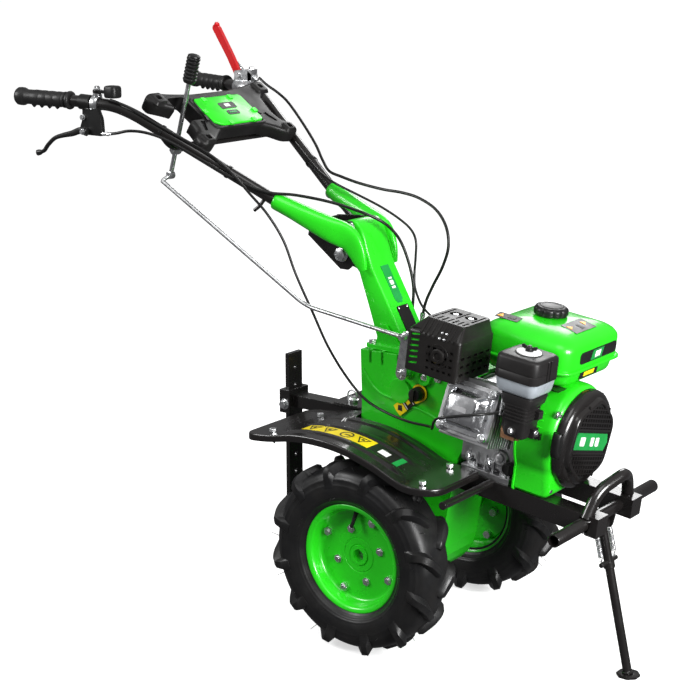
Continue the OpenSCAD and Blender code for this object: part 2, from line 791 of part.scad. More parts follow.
module crankcase() {
    color(cast) {
        difference() {
            union() {
                leaning() {
                    yz_plate(122, 254) soft_rect([-74, rail_top + 8], [68, 372], 20);
                    block([132, -86, rail_top + 0.2], [244, 86, rail_top + 12]);
                    long_bar(0, crank_h, 70, 118.2, 124);
                }
                on_barrel() {
                    translate([0, 0, 96]) cube([84, 84, 110], center = true);
                    for (i = [0:6]) translate([0, 0, 86 + i * 9.5]) cube([108, 116, 3.6], center = true);
                }
            }
            leaning() {
                long_bar(0, crank_h, 56, 134, 242);
                long_bar(0, crank_h, 12.05, 110, 260);
                for (x = engine_bolts_x, s = [-1, 1]) {
                    translate([x, s * 70, rail_top - 10]) cylinder(r = 5.05, h = 40);
                    translate([x, s * 70, rail_top + 12]) cylinder(r = 11, h = 14);
                }
            }
            on_barrel() translate([0, 0, 30]) cylinder(r = 34, h = 130);
        }
    }
}

module cylinder_head() {
    color(cast) on_barrel() {
        for (i = [0:2]) translate([0, 0, 155 + i * 10]) cube([112, 118, 4], center = true);
        translate([0, 0, 168]) cube([88, 90, 34], center = true);
        translate([0, 0, 183]) linear_extrude(8) soft_rect([-58, -52], [58, 52], 12);
    }
}

module valve_cover() {
    color(nut_colour) on_barrel() {
        hull() {
            translate([0, 0, 191.2]) linear_extrude(6) soft_rect([-50, -44], [50, 44], 10);
            translate([0, 0, 216]) linear_extrude(6) soft_rect([-40, -34], [40, 34], 12);
        }
        for (x = [-50, 50], y = [-44, 44]) translate([x, y, 191.2]) cylinder(r = 6, h = 5.6);
    }
}

module shroud_outline(r, half, low) {
    translate([0, crank_h]) circle(r = r, $fn = 96);
    translate([-half, low]) square([2 * half, crank_h - low]);
}

module blower_shroud() {
    color(green) leaning() difference() {
        yz_plate(256, 336) shroud_outline(107, 92, rail_top + 1);
        yz_plate(250, 332) shroud_outline(103, 88, rail_top - 5);
        long_bar(0, crank_h, 86, 320, 340);
    }
}

module recoil_cover() {
    color(black) leaning() {
        difference() {
            union() {
                long_bar(0, crank_h, 100, 336.2, 350);
                translate([349, 0, crank_h]) rotate([0, 90, 0]) rotate([0, 0, 15])
                    cylinder(r = 82, h = 17, $fn = 6);
            }
            long_bar(0, crank_h, 90, 330, 340);
            long_bar(0, crank_h, 66, 330, 361);
            bar([rope_at[0], -130, rope_at[2]], [rope_at[0], 40, rope_at[2]], 3);
        }
        long_bar(0, crank_h, 6, 335, 362);
    }
}

rope_at = [350, -100, 324];

module recoil_reel() {
    color(dark) leaning() difference() {
        long_bar(0, crank_h, 58, 336.5, 345);
        long_bar(0, crank_h, 6.06, 330, 350);
    }
}

module recoil_handle() {
    color(dark) leaning() {
        bar([rope_at[0], -104, rope_at[2]], [rope_at[0], 10, rope_at[2]], 2.5);
        translate([0, 0, rope_at[2] - 24]) linear_extrude(46)
            soft_rect([rope_at[0] - 8, -120], [rope_at[0] + 8, -103], 7);
    }
}

module crankshaft() {
    color(nut_colour) leaning() {
        long_bar(0, crank_h, 12, 72, 180);
        long_bar(0, crank_h, 12, 200, 328);
        long_bar(0, crank_h, 50, 72, 100);
        for (x = [[164, 180], [200, 216]]) long_bar(0, crank_h, 44, x[0], x[1]);
        long_bar(0, crank_h + 26, 13, 178, 202);
    }
}

module flywheel_fan() {
    color(cast) leaning() {
        difference() {
            long_bar(0, crank_h, 92, 272, 292);
            long_bar(0, crank_h, 12, 260, 300);
        }
        for (i = [0:15]) translate([0, 0, crank_h]) rotate([i * 22.5, 0, 0])
            block([291, -2, 56], [322, 2, 92]);
    }
}

tank_low = [122, -70];
tank_high = [326, 150];

module tank_layer(inward, top, r) {
    soft_block([tank_low[0] + inward, tank_low[1] + inward, 447],
        [tank_high[0] - inward, tank_high[1] - inward, top], r);
}

module tank_shell(t) {
    hull() {
        tank_layer(t, 493 - t, 30);
        tank_layer(18, 511 - t, 28);
        tank_layer(42, 518 - t, 24);
    }
    soft_block([tank_low[0] + 10 + t, tank_low[1] + 10 + t, 414 + t], [tank_high[0] - 10 - t,
        tank_high[1] - 10 - t, 448], 26);
}

cap_at = [213, 45];

module fuel_tank() {
    color(green) leaning() difference() {
        union() {
            tank_shell(0);
            soft_block([tank_low[0] - 5, tank_low[1] - 5, 444],
                [tank_high[0] + 5, tank_high[1] + 5, 448], 32);
            translate([cap_at[0], cap_at[1], 500]) cylinder(r = 26, h = 20);
        }
        tank_shell(2.5);
        translate([cap_at[0], cap_at[1], 480]) cylinder(r = 22, h = 60);
    }
}

module fuel_cap() {
    color(dark) leaning() translate([cap_at[0], cap_at[1], 0]) difference() {
        union() {
            translate([0, 0, 519]) cylinder(r = 31, h = 18);
            for (i = [0:11]) rotate([0, 0, i * 30]) translate([30, 0, 520.5])
                cylinder(r = 5, h = 14, $fn = 32);
            translate([0, 0, 503]) cylinder(r = 20, h = 20);
        }
        difference() {
            translate([0, 0, 516]) cylinder(r = 26.6, h = 7);
            translate([0, 0, 515]) cylinder(r = 20, h = 9);
        }
    }
}

muffler_low = [42, -200, 410];
muffler_high = [164, -76, 518];
exhaust_at = [136, -150];

// The room that the head takes beside the exhaust, 1 mm all round.
module head_room() {
    on_barrel() {
        block([-59, -60, 150], [59, 60, 193]);
        block([-58, -52, 190], [58, 52, 208]);
    }
}

module muffler_guard() {
    a = muffler_low;
    b = muffler_high;
    color(dark) difference() {
        leaning() guard_shell(a, b);
        head_room();
    }
}

module guard_shell(a, b) {
    difference() {
        hull() {
            soft_block(a, [b[0], b[1], b[2] - 22], 8);
            soft_block([a[0] + 24, a[1] + 24, a[2]], [b[0] - 12, b[1] - 4, b[2]], 8);
        }
        hull() {
            soft_block(a + [2, 2, 3], [b[0] - 2, b[1] - 2, b[2] - 24], 7);
            soft_block([a[0] + 26, a[1] + 26, a[2] + 3], [b[0] - 14, b[1] - 6, b[2] - 2], 7);
        }
        for (i = [0:4]) translate([a[0] + 14 + i * 4, a[1] - 5, a[2] + 14 + i * 14]) cube([14 - i, 20, 6]);
        block([a[0] + 60, b[1] - 20, a[2] - 5], [b[0] - 10, b[1] + 5, a[2] + 50]);
        translate([exhaust_at[0], exhaust_at[1], a[2] - 5]) cylinder(r = 13.5, h = 12);
    }
}

module muffler() {
    a = muffler_low + [7, 7, 7];
    b = muffler_high - [12, 14, 28];
    color(cast) difference() {
        leaning() {
            difference() {
                soft_block(a, b, 22);
                soft_block(a + [2, 2, 2], b - [2, 2, 2], 20);
            }
            translate([exhaust_at[0], exhaust_at[1], 400]) cylinder(r = 13, h = 40);
        }
        head_room();
    }
}

module carburettor() {
    color(cast) leaning() {
        long_bar(-150, 378, 17, 247.5, 263.8);
        translate([255, -150, 336]) cylinder(r = 8.4, h = 30);
        long_bar(-150, 378, 9, 246.2, 249);
    }
}

module air_filter_elbow() {
    color(dark) leaning() {
        soft_block([264, -180, 337], [314, -126, 421], 10);
        soft_block([252, -184, 405], [322, -112, 421.3], 12);
        cross_bar(286, 352, 6, -183, -179);
    }
}

module air_filter_bowl() {
    color([0.55, 0.57, 0.58]) leaning() soft_block([238, -188, 421.5], [326, -102, 450], 14);
}

module air_filter_lid() {
    color(dark) leaning() {
        soft_block([235, -191, 450.2], [329, -99, 497], 15);
        translate([282, -145, 496]) cylinder(r = 6, h = 10);
    }
}

module wing_nut() {
    color([0.92, 0.92, 0.92]) leaning() translate([282, -145, 0]) difference() {
        union() {
            translate([0, 0, 497.2]) cylinder(r = 24, h = 2);
            translate([0, 0, 499]) cylinder(r = 9, h = 8);
            translate([-15, -2, 501]) cube([30, 4, 11]);
        }
        translate([0, 0, 490]) cylinder(r = 6.05, h = 30);
    }
}

module oil_plug() {
    color(dark) leaning() {
        cross_bar(plug_e[0], plug_e[1], 10, -72, -54);
        cross_bar(plug_e[0], plug_e[1], 15, -92, -66.3);
        cross_bar(plug_e[0], plug_e[1], 19, -69, -66.3);
        translate([plug_e[0] - 3, -97, plug_e[1] - 14]) cube([6, 6, 28]);
    }
}

module frame_bolts() {
    color(nut_colour) {
        machine() for (p = flange_bolts) {
            translate([p[0], p[1], 582]) cylinder(r = 5, h = 16);
            hex_z(p[0], p[1], 13, 597.1, 605);
        }
        leaning() for (x = engine_bolts_x, s = [-1, 1]) {
            translate([x, s * 70, rail_top - 9]) cylinder(r = 5, h = 24);
            hex_z(x, s * 70, 16, rail_top + 12.1, rail_top + 20);
        }
        machine() for (p = fender_bolts, s = [-1, 1]) {
            translate([p[0], s * p[1], fender_z(p[0]) - 8]) cylinder(r = 4, h = 10);
            hex_z(p[0], s * p[1], 13, fender_z(p[0]) + 1.8, fender_z(p[0]) + 7.6);
        }
    }
}

// Height of the fender's top over a place along X.
function fender_z(x) = lookup(x, fender_top);

// ---- cables ----

clutch_route = [[-634, 240, 1094], [-606, 235, 1079], [-566, 226, 1064], [-527, 214, 1046],
    [-466, 188, 1008], [-406, 160, 966], [-370, 140, 935], [-340, 126, 914], [-300, 118, 906],
    [-244, 108, 898], [-176, 100, 892], [-124, 98, 890], [-78, 95, 883], [-32, 90, 864],
    [-3, 85, 832], [7, 80, 792], [-3, 75, 750], [-24, 70, 706], [-38, 66, 672], [-44, 62, 640]];
stop_route = [[-440, 131, 969], [-407, 119, 949], [-370, 105, 929],
    [-330, 88, 912], [-280, 72, 898], [-220, 70, 880], [-161, 72, 860], [-114, 75, 838],
    [-82, 72, 819], [-68, 70, 796], [-67, 68, 761], [-68, 66, 729], [-62, 60, 700],
    [-44, 56, 668], [-20, 52, 650], [14, 40, 638], [60, 10, 640]];
reverse_route = [[-656, -246, 1008], [-625, -243, 1011], [-590, -236, 1018], [-552, -222, 1015],
    [-508, -205, 1000], [-440, -176, 962], [-380, -148, 926], [-320, -118, 900], [-265, -84, 894],
    [-194, -62, 884], [-137, -40, 868], [-104, -8, 847], [-90, 20, 822], [-80, 38, 792],
    [-66, 46, 746], [-58, 48, 704], [-58, 47, 669], [-60, 47, 636]];
throttle_route = [[-640, -239, 1080], [-622, -237, 1076], [-594, -227, 1064], [-552, -208, 1038],
    [-508, -190, 1014], [-440, -160, 976], [-384, -152, 940], [-338, -146, 898], [-302, -132, 856],
    [-276, -112, 800], [-251, -104, 732], [-212, -98, 656], [-172, -96, 586], [-123, -96, 528],
    [-74, -98, 490], [-19, -104, 474], [49, -120, 470], [122, -150, 480], [166, -206, 498],
    [206, -252, 534], [252, -250, 548], [286, -228, 552], [299, -196, 550], [301, -171, 548]];

// A smooth curve through the points of a route, steps places to each stretch.
function spline(p, steps) = concat([for (i = [0:len(p) - 2], k = [0:steps - 1])
    let (t = k / steps, a = p[max(i - 1, 0)], b = p[i], c = p[i + 1], d = p[min(i + 2, len(p) - 1)])
    0.5 * (2 * b + (c - a) * t + (2 * a - 5 * b + 4 * c - d) * t * t
        + (3 * b - a - 3 * c + d) * t * t * t)], [p[len(p) - 1]]);

// A cable swept along a route as one closed skin.
module cable(route, r) {
    p = spline(route, 3);
    n = len(p);
    sides = 8;
    t = [for (i = [0:n - 1]) let (v = p[min(i + 1, n - 1)] - p[max(i - 1, 0)]) v / norm(v)];
    // The side direction stays square to the cable and mostly across the machine.
    s = [for (v = t) let (c = cross(v, [0.3, 0.2, 1])) c / norm(c)];
    points = [for (i = [0:n - 1], k = [0:sides - 1])
        p[i] + r * (s[i] * cos(k * 360 / sides) + cross(t[i], s[i]) * sin(k * 360 / sides))];
    faces = concat([[for (k = [sides - 1:-1:0]) k]], [[for (k = [0:sides - 1]) (n - 1) * sides + k]],
        [for (i = [0:n - 2], k = [0:sides - 1])
            [i * sides + k, i * sides + (k + 1) % sides, (i + 1) * sides + (k + 1) % sides,
                (i + 1) * sides + k]]);
    polyhedron(points, faces, convexity = 8);
}

module control_cables() {
    color(dark) machine() {
        cable(clutch_route, 3.2);
        cable(stop_route, 2.6);
        cable(reverse_route, 3.2);
        cable(throttle_route, 2.8);
    }
}

gearbox_case_left();
gearbox_case_right();
ball_bearings();
handlebar_column();
frame_bolts();
frame_rails();
front_bumper();
crankcase();
cylinder_head();
valve_cover();
blower_shroud();
recoil_cover();
fuel_tank();
fuel_cap();
muffler();
muffler_guard();
carburettor();
air_filter_elbow();
air_filter_bowl();
air_filter_lid();
wing_nut();
fender_right();
fender_left();
oil_plug();
hitch_socket();
pivot_pins();
drawbar();
depth_bar();
axle_shaft();
rim(-1);  // rim_right
rim(1);  // rim_left
tyre(-1);  // tyre_right
tyre(1);  // tyre_left
wheel_nuts();
final_gear();
idler_gear();
main_shaft();
input_shaft();
crankshaft();
flywheel_fan();
recoil_reel();
recoil_handle();
handlebar_arms();
pivot_yoke();
pivot_bolt();
handlebar_tubes();
hand_grips();
console();
console_insert();
lever_brackets();
shift_lever();
gear_arm();
rod_end_pin();
shift_rod();
clutch_lever();
reverse_lever();
throttle_lever();
stand_leg();
stand_springs();
control_cables();
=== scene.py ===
"""Looks of the two-wheel cultivator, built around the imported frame.

Sizes are millimetres in the frames named MACHINE, LEANING, BARREL and CONSOLE, and in the frame that
wheel_place() gives, which turn them into metres in the row frame.
"""
import math
import random

import bmesh
import bpy
from mathutils import Matrix, Vector


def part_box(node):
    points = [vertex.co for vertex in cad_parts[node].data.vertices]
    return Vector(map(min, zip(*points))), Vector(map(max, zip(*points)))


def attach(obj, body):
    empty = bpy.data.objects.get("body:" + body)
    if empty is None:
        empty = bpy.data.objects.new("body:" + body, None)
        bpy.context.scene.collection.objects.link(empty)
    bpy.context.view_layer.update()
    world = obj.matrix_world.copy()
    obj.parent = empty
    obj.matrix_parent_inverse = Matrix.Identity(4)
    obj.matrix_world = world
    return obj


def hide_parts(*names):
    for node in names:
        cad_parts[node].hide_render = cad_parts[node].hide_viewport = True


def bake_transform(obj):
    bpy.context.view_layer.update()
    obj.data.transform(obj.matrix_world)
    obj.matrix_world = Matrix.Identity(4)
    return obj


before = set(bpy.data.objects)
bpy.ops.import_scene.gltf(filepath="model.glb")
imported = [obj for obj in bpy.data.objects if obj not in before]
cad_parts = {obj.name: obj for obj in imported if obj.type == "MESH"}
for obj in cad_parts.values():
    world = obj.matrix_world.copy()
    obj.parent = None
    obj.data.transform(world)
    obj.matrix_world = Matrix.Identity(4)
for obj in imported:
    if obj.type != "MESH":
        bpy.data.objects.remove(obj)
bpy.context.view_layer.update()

# ---- frames ----

tyre_low, tyre_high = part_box("tyre_right")
AXLE = (tyre_low + tyre_high) / 2
WHEEL_Y = -AXLE.y * 1000
AXLE_Z = AXLE.z * 1000
LEAN = math.radians(7)
# Height of the crankshaft above the axle, in the leaning frame.
CRANK = 307
MM = 0.001

MACHINE = Matrix.Translation((AXLE.x, 0, 0)) @ Matrix.Scale(MM, 4)
LEANING = Matrix.Translation((AXLE.x, 0, AXLE.z)) @ Matrix.Rotation(LEAN, 4, "Y") @ Matrix.Scale(MM, 4)
BARREL = LEANING @ Matrix.Translation((188, 0, CRANK)) @ Matrix.Rotation(math.radians(73), 4, "X")
CONSOLE = MACHINE @ Matrix.Translation((-455, 0, 998)) @ Matrix.Rotation(math.radians(35), 4, "Y")
MIRRORED = Matrix.Scale(-1, 4, (0, 1, 0))


def wheel_place(side):
    """The frame of a wheel: Y points outwards from its middle plane."""
    flip = Matrix.Identity(4) if side > 0 else MIRRORED
    return MACHINE @ Matrix.Translation((0, side * WHEEL_Y, AXLE_Z)) @ flip


# ---- shape helpers ----

def lerp(a, b, t):
    return a + (b - a) * t


def smoothstep(t):
    t = min(max(t, 0.0), 1.0)
    return t * t * (3 - 2 * t)


def spline(points, steps=6):
    """A smooth curve through points of any dimension."""
    p = [Vector(q) for q in points]
    out = []
    for i in range(len(p) - 1):
        a, b, c, d = p[max(i - 1, 0)], p[i], p[i + 1], p[min(i + 2, len(p) - 1)]
        for k in range(steps):
            t = k / steps
            out.append(0.5 * (2 * b + (c - a) * t + (2 * a - 5 * b + 4 * c - d) * t * t
                              + (3 * b - a - 3 * c + d) * t ** 3))
    return out + [p[-1]]


def rounded(points, radius, steps=6):
    """A path of straight runs with rounded corners."""
    p = [Vector(q) for q in points]
    out = [p[0]]
    for a, b, c in zip(p, p[1:], p[2:]):
        reach = min(radius, (a - b).length * 0.45, (c - b).length * 0.45)
        one, two = b + (a - b).normalized() * reach, b + (c - b).normalized() * reach
        for k in range(steps + 1):
            t = k / steps
            out.append(one * (1 - t) ** 2 + b * 2 * t * (1 - t) + two * t * t)
    return out + [p[-1]]


def arc(cx, cy, r, start, end, steps):
    """Points of an arc in a plane, angles in degrees."""
    angles = [math.radians(lerp(start, end, k / steps)) for k in range(steps + 1)]
    return [(cx + r * math.cos(a), cy + r * math.sin(a)) for a in angles]


def soft_rect(a, b, r, steps=5):
    """The outline of a rectangle with rounded corners."""
    corners = [(b[0] - r, b[1] - r, 0), (a[0] + r, b[1] - r, 90), (a[0] + r, a[1] + r, 180),
               (b[0] - r, a[1] + r, 270)]
    return [q for x, y, s in corners for q in arc(x, y, r, s, s + 90, steps)]


def inset(outline, distance):
    """An outline moved inwards by a distance (its points run anticlockwise)."""
    n = len(outline)
    area = sum(outline[i][0] * outline[(i + 1) % n][1] - outline[(i + 1) % n][0] * outline[i][1]
               for i in range(n))
    sign = 1 if area > 0 else -1
    out = []
    for i in range(n):
        p, q, r = (Vector(outline[(i + k) % n]) for k in (-1, 0, 1))
        u, v = (q - p).normalized(), (r - q).normalized()
        m, k = Vector((-u.y, u.x)) * sign, Vector((-v.y, v.x)) * sign
        corner = (m + k).normalized()
        out.append(tuple(q + corner * distance / max(corner.dot(m), 0.35)))
    return out


def across(direction):
    """A turn that takes Z onto a direction."""
    return Vector(direction).to_track_quat("Z", "Y").to_matrix().to_4x4()


PLANES = {"xy": lambda u, v, w: (u, v, w), "xz": lambda u, v, w: (u, w, v), "yz": lambda u, v, w: (w, u, v)}


class Shape:
    """Closed skins gathered into one mesh, in the millimetres of one frame."""

    def __init__(self):
        self.bm = bmesh.new()

    def take(self, part, bevel=0.0, segments=2, place=None):
        if bevel:
            sharp = [e for e in part.edges if e.calc_face_angle(0.0) > math.radians(28)]
            bmesh.ops.bevel(part, geom=sharp, offset=bevel, segments=segments, profile=0.5, affect="EDGES",
                            clamp_overlap=True)
        bmesh.ops.recalc_face_normals(part, faces=part.faces)
        if place is not None:
            part.transform(place)
        mesh = bpy.data.meshes.new("part")
        part.to_mesh(mesh)
        part.free()
        self.bm.from_mesh(mesh)
        bpy.data.meshes.remove(mesh)
        return self

    def loft(self, rings, caps=True, loop=False, bevel=0.0, segments=2, place=None):
        part = bmesh.new()
        rows = [[part.verts.new(p) for p in ring] for ring in rings]
        n = len(rows[0])
        pairs = list(zip(rows, rows[1:])) + ([(rows[-1], rows[0])] if loop else [])
        for one, two in pairs:
            for i in range(n):
                part.faces.new((one[i], one[(i + 1) % n], two[(i + 1) % n], two[i]))
        if caps and not loop:
            part.faces.new(rows[0])
            part.faces.new(rows[-1])
        return self.take(part, bevel, segments, place)

    def prism(self, outline, low, high, plane="xy", bevel=0.0, segments=2, place=None):
        put = PLANES[plane]
        rings = [[put(u, v, w) for u, v in outline] for w in (low, high)]
        return self.loft(rings, bevel=bevel, segments=segments, place=place)

    def box(self, a, b, bevel=0.0, segments=2, place=None):
        outline = [(a[0], a[1]), (b[0], a[1]), (b[0], b[1]), (a[0], b[1])]
        return self.prism(outline, a[2], b[2], bevel=bevel, segments=segments, place=place)

    def levels(self, outline, steps, plane="xy", place=None):
        """An outline at several heights, each moved inwards: [(height, inset), ...]."""
        put = PLANES[plane]
        rings = [[put(u, v, w) for u, v in (inset(outline, d) if d else outline)] for w, d in steps]
        return self.loft(rings, place=place)

    def pillow(self, a, b, r, steps, plane="xy", place=None):
        """A rounded rectangle at several heights, each moved inwards: [(height, inset), ...]."""
        put = PLANES[plane]
        rings = [[put(u, v, w) for u, v in soft_rect((a[0] + d, a[1] + d), (b[0] - d, b[1] - d),
                                                     max(r - d * 0.6, 2))]
                 for w, d in steps]
        return self.loft(rings, place=place)

    def lathe(self, profile, at=(0, 0, 0), direction=(0, 0, 1), steps=48, loop=False, place=None):
        """A profile of (along, radius) turned round an axis."""
        turn = Matrix.Translation(at) @ across(direction)
        rings = [[turn @ Vector((r * math.cos(2 * math.pi * k / steps), r * math.sin(2 * math.pi * k / steps),
                                 z))
                  for k in range(steps)] for z, r in profile]
        return self.loft(rings, loop=loop, place=place)

    def rod(self, a, b, r, chamfer=0.0, steps=24, place=None):
        a, b = Vector(a), Vector(b)
        length = (b - a).length
        c = chamfer
        profile = [(0, r - c), (c, r), (length - c, r), (length, r - c)] if c else [(0, r), (length, r)]
        return self.lathe(profile, a, b - a, steps, place=place)

    def tube(self, path, radius, sides=16, place=None):
        """A round bar along a path; radius may be a function of the share of the way along it."""
        p = [Vector(q) for q in path]
        size = radius if callable(radius) else (lambda t: radius)
        rings, side = [], None
        for i, q in enumerate(p):
            along = (p[min(i + 1, len(p) - 1)] - p[max(i - 1, 0)]).normalized()
            if side is None:
                side = along.orthogonal().normalized()
            side = (side - along * side.dot(along)).normalized()
            up = along.cross(side)
            r = size(i / (len(p) - 1))
            rings.append([q + (side * math.cos(2 * math.pi * k / sides)
                               + up * math.sin(2 * math.pi * k / sides)) * r
                          for k in range(sides)])
        return self.loft(rings, place=place)

    def bolt(self, at, direction, flats=13, height=6, washer=0.0, place=None):
        """A hexagon head with a chamfered top, standing on a place; washer is a washer's radius."""
        turn = Matrix.Translation(at) @ across(direction)
        corner = flats / 2 / math.cos(math.pi / 6)
        if washer:
            self.lathe([(-0.5, washer * 0.9), (-0.5, washer), (1.2, washer), (1.7, washer - 0.6), (1.7, 2)],
                       at,
                       direction, 32, place=place)
        base = 1.6 if washer else 0.0
        rings = [[turn @ Vector((r * math.cos(math.pi * k / 3), r * math.sin(math.pi * k / 3),
                                 z)) for k in range(6)]
                 for z, r in ((base - 1, corner), (base + height - 1, corner),
                              (base + height, corner * 0.86))]
        return self.loft(rings, place=place)

    def helix(self, a, b, radius, wire, turns, sides=8):
        """A coil spring between two places."""
        a, b = Vector(a), Vector(b)
        turn = across(b - a)
        count = int(turns * 18)
        path = []
        for k in range(count + 1):
            t = k / count
            angle = 2 * math.pi * turns * t
            offset = turn @ Vector((radius * math.cos(angle), radius * math.sin(angle), 0))
            path.append(lerp(a, b, t) + offset)
        return self.tube(path, wire, sides)


def piece(name, shape, place, body, material, replaces=(), angle=32.0, blend=None):
    """Turns a shape into an object that rides on a body, or, when blend is given, is left on no body."""
    bm = shape.bm
    bm.transform(place)
    if place.to_3x3().determinant() < 0:
        bmesh.ops.reverse_faces(bm, faces=bm.faces)
    bmesh.ops.dissolve_degenerate(bm, dist=1e-6, edges=bm.edges)
    mesh = bpy.data.meshes.new(name)
    bm.to_mesh(mesh)
    bm.free()
    mesh.shade_smooth()
    mesh.set_sharp_from_angle(angle=math.radians(angle))
    mesh.materials.append(material)
    obj = bpy.data.objects.new(name, mesh)
    bpy.context.scene.collection.objects.link(obj)
    if blend:
        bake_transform(obj)
    else:
        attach(obj, body)
    if replaces:
        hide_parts(*replaces)
    return obj


def carve(obj, cutter, place):
    """Cuts a shape out of an object's mesh."""
    bm = cutter.bm
    bm.transform(place)
    bmesh.ops.recalc_face_normals(bm, faces=bm.faces)
    mesh = bpy.data.meshes.new("cutter")
    bm.to_mesh(mesh)
    bm.free()
    tool = bpy.data.objects.new("cutter", mesh)
    bpy.context.scene.collection.objects.link(tool)
    modifier = obj.modifiers.new("carve", "BOOLEAN")
    modifier.operation, modifier.object, modifier.solver = "DIFFERENCE", tool, "EXACT"
    modifier.use_self = True
    bpy.context.view_layer.update()
    evaluated = obj.evaluated_get(bpy.context.evaluated_depsgraph_get())
    result = bpy.data.meshes.new_from_object(evaluated)
    obj.modifiers.remove(modifier)
    old, obj.data = obj.data, result
    result.name = obj.name
    bpy.data.meshes.remove(old)
    bpy.data.objects.remove(tool)
    result.shade_smooth()
    result.set_sharp_from_angle(angle=math.radians(32))
    return obj


# ---- finishes ----

class Finish:
    """A procedural material: mottled colour, uneven gloss and a fine bump, in object coordinates."""

    def __init__(self, name, colour, rough, metal=0.0):
        self.material = bpy.data.materials.new(name)
        self.material.use_nodes = True
        self.material.diffuse_color = (*colour, 1)
        self.tree = self.material.node_tree
        self.shader = self.tree.nodes["Principled BSDF"]
        self.shader.inputs["Base Color"].default_value = (*colour, 1)
        self.shader.inputs["Roughness"].default_value = rough
        self.shader.inputs["Metallic"].default_value = metal
        self.colour, self.rough = colour, rough
        self.where = self.tree.nodes.new("ShaderNodeTexCoord").outputs["Object"]
        self.normal = None

    def node(self, kind, inputs=None, **settings):
        made = self.tree.nodes.new(kind)
        for key, value in settings.items():
            setattr(made, key, value)
        for key, value in (inputs or {}).items():
            if isinstance(value, bpy.types.NodeSocket):
                self.tree.links.new(value, made.inputs[key])
            else:
                made.inputs[key].default_value = value
        return made

    def noise(self, scale, detail=3.0, stretch=None):
        where = self.where
        if stretch:
            where = self.node("ShaderNodeMapping", {"Vector": where, "Scale": stretch}).outputs["Vector"]
        return self.node("ShaderNodeTexNoise",
                         {"Vector": where, "Scale": scale, "Detail": detail}).outputs["Fac"]

    def spread(self, fac, low, high, start=0.3, end=0.7):
        """A factor stretched onto a range of values."""
        made = self.node("ShaderNodeMapRange",
                         {"Value": fac, "From Min": start, "From Max": end, "To Min": low,
                                                 "To Max": high})
        return made.outputs["Result"]

    def mix(self, fac, one, two):
        made = self.node("ShaderNodeMix", data_type="RGBA")
        for key, value in ((0, fac), (6, one), (7, two)):
            if isinstance(value, bpy.types.NodeSocket):
                self.tree.links.new(value, made.inputs[key])
            else:
                made.inputs[key].default_value = value if key == 0 else (*value, 1)
        return made.outputs[2]

    def link(self, value, key):
        self.tree.links.new(value, self.shader.inputs[key])
        return self

    def mottled(self, scale, other, share=1.0, stretch=None):
        """Patches of another colour."""
        fac = self.spread(self.noise(scale, 5.0, stretch), 0.0, share, 0.38, 0.68)
        return self.link(self.mix(fac, self.colour, other), "Base Color")

    def uneven(self, scale, amount, stretch=None):
        """A gloss that varies over the surface."""
        fac = self.noise(scale, 4.0, stretch)
        return self.link(self.spread(fac, self.rough - amount, self.rough + amount), "Roughness")

    def bump(self, fac, strength, depth=0.0004):
        inputs = {"Height": fac, "Strength": strength, "Distance": depth}
        if self.normal is not None:
            inputs["Normal"] = self.normal
        self.normal = self.node("ShaderNodeBump", inputs).outputs["Normal"]
        return self.link(self.normal, "Normal")

    def grained(self, scale, strength, depth=0.0004, stretch=None):
        return self.bump(self.noise(scale, 3.0, stretch), strength, depth)

    def pebbled(self, scale, strength, depth=0.0003):
        """The small cells of a moulded or knurled surface."""
        cells = self.node("ShaderNodeTexVoronoi", {"Vector": self.where, "Scale": scale}, feature="SMOOTH_F1")
        return self.bump(cells.outputs["Distance"], strength, depth)

    def eased(self, radius):
        """Edges that catch the light as if they were rounded."""
        self.normal = self.node("ShaderNodeBevel", {"Radius": radius}, samples=6).outputs["Normal"]
        return self.link(self.normal, "Normal")

    def coat(self, weight, rough):
        self.shader.inputs["Coat Weight"].default_value = weight
        self.shader.inputs["Coat Roughness"].default_value = rough
        return self


def enamel(name, colour, dark, rough=0.22, edge=0.0, coat=0.5):
    """Sprayed gloss paint: a faint orange peel and slow changes of tone."""
    made = Finish(name, colour, rough)
    if edge:
        made.eased(edge)
    made.mottled(9, dark, 0.5).uneven(14, 0.05).grained(420, 0.05, 0.0003).coat(coat, 0.08)
    return made.material


def plastic(name, colour, rough, cells=1500, depth=0.35, edge=0.0):
    """Moulded plastic with a fine spark grain."""
    made = Finish(name, colour, rough)
    made.shader.inputs["Specular IOR Level"].default_value = 0.32
    if edge:
        made.eased(edge)
    made.mottled(22, tuple(c * 1.35 + 0.003 for c in colour), 0.7).uneven(30, 0.07).pebbled(cells, depth,
                                                                                            0.00015)
    return made.material


def bare_metal(name, colour, rough, grain=350, strength=0.12, stretch=None, edge=0.0, other=None):
    """Plated, machined or cast metal: patchy tone, streaky gloss and a fine grain."""
    made = Finish(name, colour, rough, 1.0)
    if edge:
        made.eased(edge)
    made.mottled(60, other or tuple(c * 0.78 for c in colour), 0.8).uneven(120, 0.09, stretch)
    made.grained(grain, strength, 0.0003, stretch)
    return made.material


